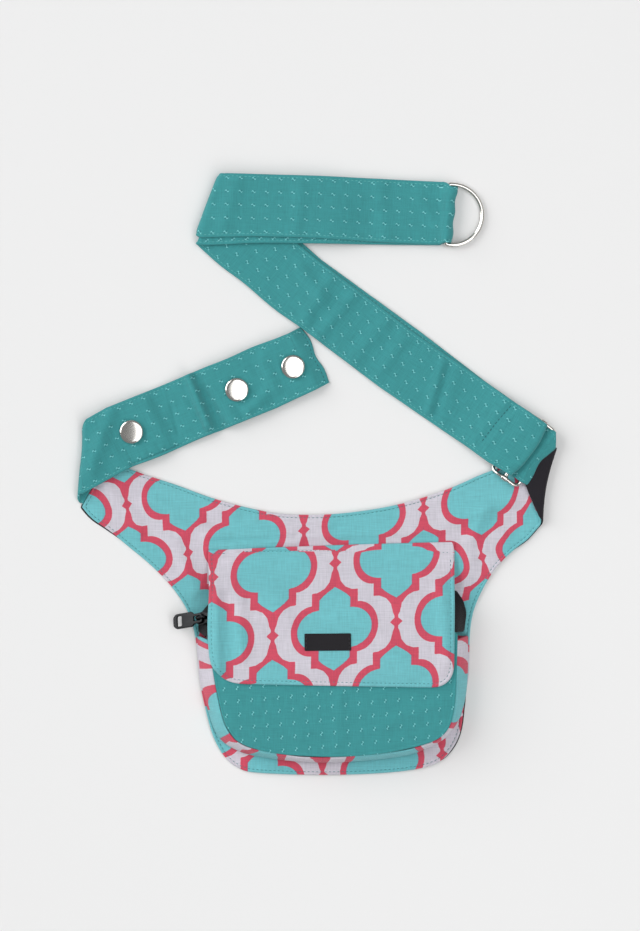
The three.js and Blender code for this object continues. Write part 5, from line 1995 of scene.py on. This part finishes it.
flap_loop = nudged(flap_line, FLAP_NUDGES)
flap = sewn_sheet(
    "flap_cloth", flap_loop, flap_height, POCKET_CLOTH, PRINTED, "printed_cloth",
    step=1.8, relief=flap_relief, cloth=flat_cloth, print=flap_print,
)
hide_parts("flap")

# %% [markdown]
# ## Flap's stitches
# Thread runs round the flap's three free sides, and a second line follows the crease. Both lie on the flap's
# own relief, in the groove that they pull into the cloth.

# %% Flap's stitches
def flap_top(x, y):
    """The height of the flap's upper side."""
    to_edge = distance_to(np.column_stack([x, y]), flap_loop)
    return flap_height(x, y) + POCKET_CLOTH / 2 + flap_relief(x, y, to_edge)


flap_hem = inset(flap_loop, FLAP_HEM)
flap_hem = opened(flap_hem[over_crease(*flap_hem.T) < -SEAM_STOP])
crease_line = spaced(CREASE, 0.8, closed=False)
flap_runs = [on_top(line, flap_top) for line in (flap_hem, crease_line)]
flap_seam = seam("flap_topstitch", flap_runs, PRINT_THREAD, "printed_cloth")

# %% [markdown]
# ## Label
# A small black label of smooth woven satin is sewn to the flap. It is so thin that it takes the flap's shape,
# so its height is the flap's top and a little more. A short row of black stitches holds each end.

# %% Label
LABEL_SHIFT = (0, 1.6)
LABEL_CLOTH = 0.7
LABEL_RISE = 0.4
STITCH_RISE = 0.8
STITCHES_FROM_END = 1.2
STITCHES_FROM_TO = (-114.0, -104.4)


def above_flap(rise):
    """A surface that lies a little above the flap."""
    return lambda x, y: flap_top(x, y) + rise


label_loop = evened(upper_rim("label"), step=0.8, passes=0) + LABEL_SHIFT
label = sewn_sheet(
    "label_cloth", label_loop, above_flap(LABEL_RISE), LABEL_CLOTH, LABEL_BLACK, "label_cloth",
    step=1.0, cloth=flat_cloth,
)
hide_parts("label")
label_runs = []
for x in (label_loop[:, 0].min() + STITCHES_FROM_END, label_loop[:, 0].max() - STITCHES_FROM_END):
    ends = np.array([(x, y) for y in STITCHES_FROM_TO]) + LABEL_SHIFT
    label_runs.append(on_top(spaced(ends, 0.5, closed=False), above_flap(STITCH_RISE)))
label_seam = seam("label_stitches", label_runs, BLACK_THREAD, "label_cloth")

# %% [markdown]
# ## Turned shapes
# Caps, knobs and bars are turned on a lathe, and a mesh can be made the same way: a profile of radii and
# heights goes once round an axis. Blender's screw modifier does it too, but here turned parts are joined with
# others into one piece, so their points and faces are made at once.

# %% Turned shapes
def turned(profile, sides=48):
    """Points and faces of a profile of radius and height turned once round the z axis."""
    points, faces, rings = [], [], []
    for radius, height in profile:
        count = 1 if radius == 0 else sides
        rings.append((len(points), count))
        for k in range(count):
            turn = 2 * math.pi * k / sides
            points.append((radius * math.cos(turn), radius * math.sin(turn), height))
    for (low, low_count), (high, high_count) in zip(rings, rings[1:]):
        for k in range(sides):
            following = (k + 1) % sides
            if low_count == 1:
                faces.append((low, high + following, high + k))
            elif high_count == 1:
                faces.append((low + k, low + following, high))
            else:
                faces.append((low + k, low + following, high + following, high + k))
    return np.array(points), facing_out(np.array(points), faces)


KNOB_PROFILE = [
    (0, -2.2), (1.4, -2.2), (1.85, -1.9), (2.0, -1.4), (2.0, 1.4), (1.85, 1.9), (1.4, 2.2), (0, 2.2),
]
knob_points, knob_faces = turned(KNOB_PROFILE, sides=28)
print("knob points:", len(knob_points), "faces:", len(knob_faces))

# %% [markdown]
# ## Buckle
# The buckle is bent from nickel wire. Its two short sides rise in an arch to a straight centre bar with a
# small knob at each end, so that the belt can pass under the bar and over the frame. The frame is a rounded
# box in plan, lifted by a parabola, with a round section along it.

# %% Buckle
WIRE_SIDES = 18
ALONG_Z = np.array((0, 0, 1.0))
BUCKLE_SLIP = 2.0
HALF_LONG = 21.75
BUCKLE_WIRE = 1.25
FRAME_Z = 4.0
BAR_Z = 7.5
BAR_PROFILE = [
    (0, -HALF_LONG), (1.0, -HALF_LONG), (BUCKLE_WIRE, -HALF_LONG + 0.4),
    (BUCKLE_WIRE, HALF_LONG - 0.4), (1.0, HALF_LONG), (0, HALF_LONG),
]
buckle_place = (
    Matrix.Translation((BUCKLE_AT[0] * MM, BUCKLE_AT[1] * MM, 0))
    @ Matrix.Rotation(BUCKLE_HEADING, 4, "Z") @ Matrix.Translation((0, BUCKLE_SLIP * MM, 0))
)
frame_corners = box_corners(-BAR_OFFSET, BAR_OFFSET, -HALF_LONG, HALF_LONG)
frame_plan = spaced(np.array(rounded(frame_corners, radius=4, steps=10)), 0.8)
frame_z = FRAME_Z + (BAR_Z - FRAME_Z) * (1 - (frame_plan[:, 0] / BAR_OFFSET) ** 2)
buckle_parts = [tube(np.column_stack([frame_plan, frame_z]), BUCKLE_WIRE, WIRE_SIDES, ALONG_Z)]
bar_points, bar_faces = turned(BAR_PROFILE, sides=24)
bar_points = bar_points[:, [0, 2, 1]] + (0, 0, BAR_Z)
buckle_parts.append((bar_points, [face[::-1] for face in bar_faces]))
for end in (-HALF_LONG, HALF_LONG):
    buckle_parts.append((knob_points[:, [2, 0, 1]] + (0, end, BAR_Z), knob_faces))
buckle = write_mesh("buckle_wire", *placed(buckle_parts, buckle_place), NICKEL, "nickel")
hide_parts("slide_buckle")
print("buckle faces:", len(buckle.data.polygons))

# %% [markdown]
# ## Ring
# The ring is one thicker wire in the shape of a D: half a circle, two short arms, rounded corners and a
# straight bar, which lies in the belt's loop. It is a piece of its own, because it swings on that bar.

# %% Ring
RING_RADIUS = 19.4
RING_WIRE = 1.55
RING_ARM = 3.2
RING_Z = 3.3
RING_TURNS = {"Z": -2.7, "Y": 4.6}
ARC_POINTS = 60
CORNER_RADIUS = 3
CORNER_STEPS = 8
CORNER_POINTS = CORNER_STEPS + 1
ring_place = Matrix.Translation(Vector((*RING_AT, RING_Z)) * MM) @ turned_by(**RING_TURNS)
turns = np.linspace(math.pi / 2, -math.pi / 2, ARC_POINTS)
arc = np.column_stack([RING_ARM + RING_RADIUS * np.cos(turns), RING_RADIUS * np.sin(turns)])
corner_line = rounded([(RING_ARM, -RING_RADIUS), (0, -RING_RADIUS), (0, 0)], CORNER_RADIUS, CORNER_STEPS)
lower_corner = np.array(corner_line[CORNER_POINTS:2 * CORNER_POINTS])
upper_corner = lower_corner[::-1] * (1, -1)
ring_plan = spaced(np.vstack([arc, lower_corner, upper_corner]), 0.9)
ring_wire = tube(np.column_stack([ring_plan, 0 * ring_plan[:, 0]]), RING_WIRE, WIRE_SIDES, ALONG_Z)
ring = write_mesh("ring_wire", *placed([ring_wire], ring_place), NICKEL, "nickel", body="ring")
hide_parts("d_ring")
print("ring faces:", len(ring.data.polygons))

# %% [markdown]
# ## Press studs
# A press stud has a smooth cap on the strap's upper side and, under it, a socket or a stud that snaps into
# one. The first has a stud, the other two have sockets. All are turned shapes. The caps sit a little askew,
# as caps that are pressed through cloth do, so each one mirrors another part of the lamps.

# %% Press studs
CAP_PROFILE = [
    (0, 2.3), (2.2, 2.3), (2.2, 5.3), (6.9, 5.3), (7.45, 5.4), (7.72, 5.7), (7.75, 6.1),
    (7.65, 6.6), (7.35, 7.0), (6.9, 7.25), (6.3, 7.39), (5.2, 7.49), (2.6, 7.58), (0, 7.6),
]
BASE_PROFILE = [(0, 1.8), (2.5, 1.8), (2.5, 3.2), (5.3, 3.3), (5.8, 3.0)]
SOCKET_PROFILE = [*BASE_PROFILE, (5.8, 0.5), (5.4, 0.1), (2.6, 0.1), (2.2, 0.5), (0, 0.5)]
STUD_PROFILE = [
    *BASE_PROFILE, (5.8, 2.0), (5.4, 1.7), (3.2, 1.7), (2.8, 1.3), (3.0, 0.6), (2.6, 0.1), (0, 0.1),
]
CAP_TILTS = ({"X": 0.5, "Y": -1.6}, {"X": 0.8, "Y": 0.8}, {"X": 1.0, "Y": 0.8})
pivot = Matrix.Translation((0, 0, STRAP_Z * MM))
for number, ((x, y), tilt) in enumerate(zip(STUDS, CAP_TILTS), start=1):
    under = Matrix.Translation((x * MM, y * MM, 0))
    seat = under @ pivot @ turned_by(**tilt) @ pivot.inverted()
    cap = write_mesh(f"press_cap_{number}", *placed([turned(CAP_PROFILE)], seat), NICKEL, "nickel")
    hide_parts(f"snap_cap_{number}")
    kind, profile = ("stud", STUD_PROFILE) if number == 1 else ("socket", SOCKET_PROFILE)
    back = write_mesh(f"press_{kind}_{number}", *placed([turned(profile)], under), NICKEL, "nickel")
    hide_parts(f"snap_{kind}_{number}")
print("press studs:", len(STUDS))

# %% [markdown]
# ## What each cloth was cut to
# The flat size that each sheet was cut to is printed, in millimetres. Every sheet names the flat size it
# was cut to, so that someone else can check that no cloth was stretched. A sheet that isn't a rectangle
# also gives its area.

# %% Cut sizes
def cut_size(loop):
    """Width and length of an outline in metres, and its area in square metres."""
    width, length = (loop.max(axis=0) - loop.min(axis=0)) * MM
    return (float(width), float(length)), abs(signed_area(loop)) * MM * MM


for piece, loop, held, below, more in (
    (lining, lining_loop, "folded", "floor", []),
    (hip, hip_loop, "folded", "lining", [hip_seam]),
    (face, face_loop, "stretched", "side_wall_cloth", []),
    (tape, tape_loop, "stretched", "hip_cloth", [coil]),
    (flap, flap_loop, "draped", "face_cloth", [flap_seam]),
    (label, label_loop, "laid", "flap_cloth", [label_seam]),
):
    flat, area = cut_size(loop)
    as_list(more)
    print(piece.name, "flat in mm:", [round(v / MM, 1) for v in flat], "area in cm2:", round(area * 1e4, 1))
for piece, size, held, below, more in (
    (belt, (STRAP_WIDTH, belt_length), "folded", "floor", [belt_seam, tail_seam]),
    (short_strap, (SHORT_WIDTH, short_length), "folded", "floor", [short_seam, short_end_seam]),
    (wall, (wall_rise[-1], wall_run[-1]), "stretched", "hip_cloth", []),
):
    flat = tuple(float(v) * MM for v in size)
    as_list(more)
    print(piece.name, "flat in mm:", [round(v / MM, 1) for v in flat])
